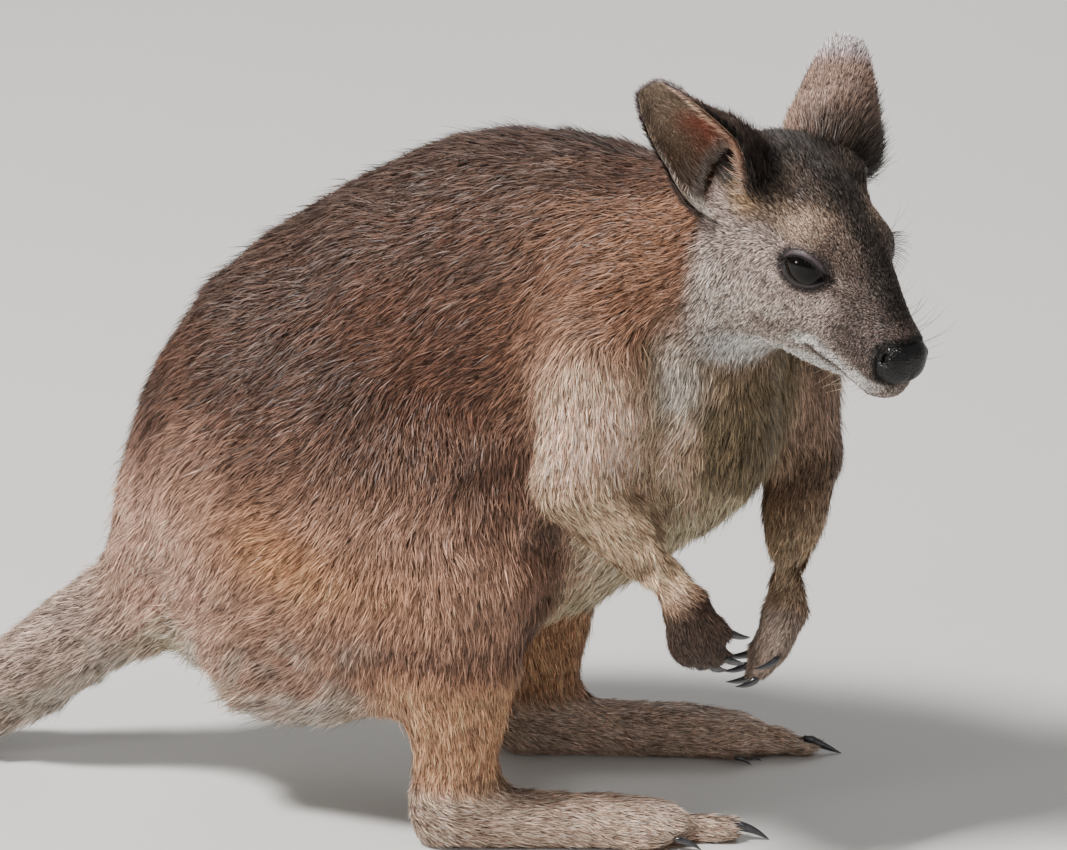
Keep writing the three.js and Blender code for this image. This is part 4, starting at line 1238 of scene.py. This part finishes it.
def hair_line(start, way, droop, length, radius, count=7):
    """A tapered three-sided hair: points and faces."""
    t = np.linspace(0, 1, count)[:, None]
    path = start + (way * t + droop * t * t) * length
    along = unit(np.gradient(path, axis=0))
    side = unit(np.cross(along, (0.3, 0.2, 0.93)))
    up = np.cross(side, along)
    angle = np.arange(3) * 2 * math.pi / 3
    r = radius * (1 - t[:, :, None] * 0.93)
    spokes = side[:, None] * np.cos(angle)[:, None] + up[:, None] * np.sin(angle)[:, None]
    rings = path[:, None] + r * spokes
    faces = ring_faces(count, 3)[:, [0, 1, 2, 0, 2, 3]].reshape(-1, 3)
    ends = np.array([[0, 2, 1], [3 * count - 3, 3 * count - 2, 3 * count - 1]])
    return rings.reshape(-1, 3), np.concatenate([faces, ends])


def hairs(name, lines, material, slot):
    points, faces, base = [], [], 0
    for line in lines:
        p, f = hair_line(*line)
        points.append(p)
        faces.append(f + base)
        base += len(p)
    dress(new_mesh(name, np.concatenate(points), np.concatenate(faces)), material, slot)


def surface_of(head_point):
    """The skin's point nearest to a point given in the head's axes."""
    return np.array(SKIN_TREE.find_nearest(Vector(from_head([head_point])[0]))[0])


# The near side's whiskers lie back along the muzzle, the far side's stand out.
WHISKER_WAYS = {"right": (-0.8, 0.42, -0.25), "left": (0.25, 0.95, 0.15)}


def make_whiskers():
    rng = np.random.default_rng(61)
    dark, pale, lashes = [], [], []

    def strand(group, at, way, droop, low, high, radius):
        spot = surface_of(at)
        way = head_way(unit(unit(np.array(way, float)) + 0.13 * rng.normal(size=3)))
        group.append((spot, way, head_way(droop), rng.uniform(low, high) * MM, radius * MM))

    for name, side in SIDES.items():
        forward, out, up = WHISKER_WAYS[name]
        for row, z in enumerate((-17, -21, -25, -29)):
            for x in (46, 41, 36, 31, 26)[row % 2 :]:
                way = (forward - 0.01 * (46 - x), out * side, up + 0.3 - 0.2 * row)
                strand(dark, (x, 10 * side, z), way, (-0.3, 0, -0.12), 14, 28, 0.12)
        for i in range(6):
            strand(dark, (12 + 1.5 * i, 12 * side, 14 - i), (0.25 + 0.1 * i, 0.55 * side, 0.9),
                   (-0.3, 0.1 * side, -0.2), 12, 24, 0.1)
        for _ in range(8):
            at = (rng.uniform(12, 38), rng.uniform(2, 9) * side, -48)
            strand(pale, at, (-0.75, 0.1 * side, -0.85), (-0.2, 0, -0.1), 8, 16, 0.14)
        axis, along, up = eye_axes(side)
        for angle in np.linspace(0.1 * math.pi, 0.9 * math.pi, 30):
            x, y = (v[0] for v in lid_edge(np.array([angle])))
            reach = math.radians(math.hypot(x, y) + 2.2)
            out = unit(along * x + up * y)
            off = axis * math.cos(reach) + out * math.sin(reach)
            spot = EYE_AT * (1, side, 1) + off * (EYE_RADIUS + 0.7)
            way = unit(out * 0.6 + axis * 0.9 + along * (0.3 + 0.2 * rng.normal()))
            size = (rng.uniform(4, 6) + 3 * (side > 0)) * MM
            lashes.append((from_head([spot])[0], head_way(way), head_way(-up * 0.35), size, 0.19 * MM))
    # sparse longer hairs on the snout's ridge
    for _ in range(26):
        x = rng.uniform(5, 48)
        strand(dark, (x, rng.uniform(-4, 7), 14 - 0.55 * x), (0.35, 0.35 + 0.2 * rng.normal(), 0.8),
               (-0.4, 0, 0), 5, 17, 0.09)
    hairs("whiskers_dark", dark, bristle, "fur")
    hairs("lashes", lashes, bristle, "fur")
    hairs("whiskers_pale", pale, pale_bristle, "fur")


# ---- nose
NOSTRIL = (67, 22)  # its middle: degrees to the side and up, seen from the pad's own middle


def make_nose():
    """The bare pad: a lobed dome with a comma-shaped nostril on each side and a cleft below."""
    rows, columns = 70, 140
    polar = np.linspace(0, math.radians(104), rows)[:, None]
    around = np.linspace(0, 2 * math.pi, columns + 1)[None, :-1]
    a = np.abs(np.degrees(polar) * np.cos(around)) - NOSTRIL[0]
    rise = np.degrees(polar) * np.sin(around) - NOSTRIL[1]
    y, z = np.sin(polar) * np.cos(around), np.sin(polar) * np.sin(around)
    way = np.stack([np.cos(polar) + 0 * around, y, z], -1)
    bulk = (np.abs(way) ** NOSE_POWER).sum(-1) ** (-1 / NOSE_POWER)
    slit = hill((a + 0.2 * rise) / 5, rise / 13)
    hook = hill((a - 2) / 9, (rise + 14) / 5)
    wing = hill((a + 13) / 7, rise / 15)
    from_middle = a + NOSTRIL[0]
    cleft = hill(from_middle / 4) * step(rise + NOSTRIL[1], -2, -22)
    dent = hill(from_middle / 16) * step(rise + NOSTRIL[1], -25, 20)
    size = 1 - 0.36 * np.maximum(slit, 0.6 * hook) + 0.05 * wing - 0.09 * cleft - 0.03 * dent
    local = way * (bulk * size)[..., None] * NOSE_SIZE + NOSE_AT
    points = from_head(local.reshape(-1, 3))
    nose = new_mesh("nose_pad", points, ring_faces(rows, columns).tolist())
    edit(nose.data, weld)  # the front pole is one point many times over
    edit(nose.data, face_outward)
    dress(nose, wet_leather, "nose")


# ---- claws
FINGER_CLAW_RADIUS = 1.9


def make_claw(node, anchor):
    """A smooth curved horn over the claw's solid, from inside the toe to its tip."""
    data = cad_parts[node].data
    points = np.array([v.co for v in data.vertices])
    away = reach_of(points - anchor)
    tip = points[np.argmax(away)]
    order = np.argsort(away)
    root = points[order[: max(4, len(order) // 4)]].mean(axis=0)
    span = np.linalg.norm(tip - root)
    way = unit(tip - root)
    t_of = (points - root) @ way / span
    middle_points = points[(t_of > 0.3) & (t_of < 0.75)]
    bend = middle_points.mean(axis=0) - (root + tip) / 2
    bend -= way * (bend @ way)
    bend = unit(bend) * min(np.linalg.norm(bend), 0.16 * span)
    wide = reach_of((points - root) - ((points - root) @ way)[:, None] * way).max()
    toe = node.startswith("toe")
    radius = min(wide, span * 0.16) if toe else FINGER_CLAW_RADIUS * MM
    start = root - way * span * 0.3 - np.array([0, 0, 1.1 if toe else 0.2]) * radius
    rows, columns = 20, 16
    t = np.linspace(0, 1, rows)[:, None]
    path = start * (1 - t) ** 2 + 2 * (root + way * span * 0.3 + bend * 2.2) * t * (1 - t) + tip * t * t
    along = unit(np.gradient(path, axis=0))
    side = unit(np.cross(along, (0, 0, 1)))
    up = np.cross(side, along)
    r = radius * (1 - t ** 1.6) ** 0.8 * np.minimum(1, 0.35 + 3.5 * t) + 1e-5
    angle = np.linspace(0, 2 * math.pi, columns + 1)[:-1]
    keel = 1 - 0.22 * np.maximum(-np.sin(angle), 0)
    rings = path[:, None] + r[:, :, None] * (
        side[:, None] * (0.8 * np.cos(angle) * keel)[:, None] + up[:, None] * np.sin(angle)[:, None])
    last = (rows - 1) * columns
    ends = [list(range(columns))[::-1], list(range(last, last + columns))]
    horn = new_mesh(f"horn_{node}", rings.reshape(-1, 3), ring_faces(rows, columns).tolist() + ends)
    edit(horn.data, face_outward)
    dress(horn, horn_finish, "claw", node)


SKIN_TREE = BVHTree.FromPolygons([Vector(q) for q in skin_points], skin_triangles.tolist())
for _name in SIDES:
    make_eye(_name)
    for _digit in ("thumb", "index", "middle", "ring", "little"):
        make_claw(f"finger_claw_{_digit}_{_name}", middle(f"hand_{_name}"))
    for _digit in ("fourth", "fifth", "third", "second"):
        make_claw(f"toe_claw_{_digit}_{_name}", middle(f"foot_{_name}"))
make_nose()
make_whiskers()


# ---- floor, light and air
FLOOR_RADIUS = 20
LAMPS_AIM = Vector((0.15, 0, 0.2))


def make_stage():
    angle = np.linspace(0, 2 * math.pi, 65)[:-1]
    ring = np.stack([np.cos(angle), np.sin(angle), 0 * angle], 1) * FLOOR_RADIUS
    ground = new_mesh("floor", ring, [list(range(64))])
    matte = finish("floor_matte", 0.8, 0.2, (1.5, 4), (0.3, (0.60, 0.595, 0.58)), (0.7, (0.64, 0.635, 0.62)))
    ground.data.materials.append(matte[0])

    def lamp(name, at, energy, size, colour):
        data = bpy.data.lights.new(name, "AREA")
        data.energy, data.size, data.color = energy, size, colour
        light = bpy.data.objects.new(name, data)
        light.location = at
        light.rotation_euler = (Vector(at) - LAMPS_AIM).to_track_quat("Z", "Y").to_euler()
        bpy.context.collection.objects.link(light)

    lamp("key", (-1.03, -1.1, 2.64), 176, 0.5, (1, 0.975, 0.94))
    lamp("catch", (-0.99, -0.98, 0.48), 5, 0.25, (1, 1, 1))
    lamp("fill", (2.4, -1.9, 1.3), 8, 2.0, (0.95, 0.97, 1))
    lamp("back", (0.3, 2.4, 2.0), 22, 1.6, (1, 1, 1))
    world = bpy.data.worlds.new("air")
    world.use_nodes = True
    sky = world.node_tree.nodes["Background"]
    sky.inputs["Color"].default_value = (0.9, 0.89, 0.875, 1)
    sky.inputs["Strength"].default_value = 0.35
    bpy.context.scene.world = world


make_stage()
bpy.context.view_layer.update()
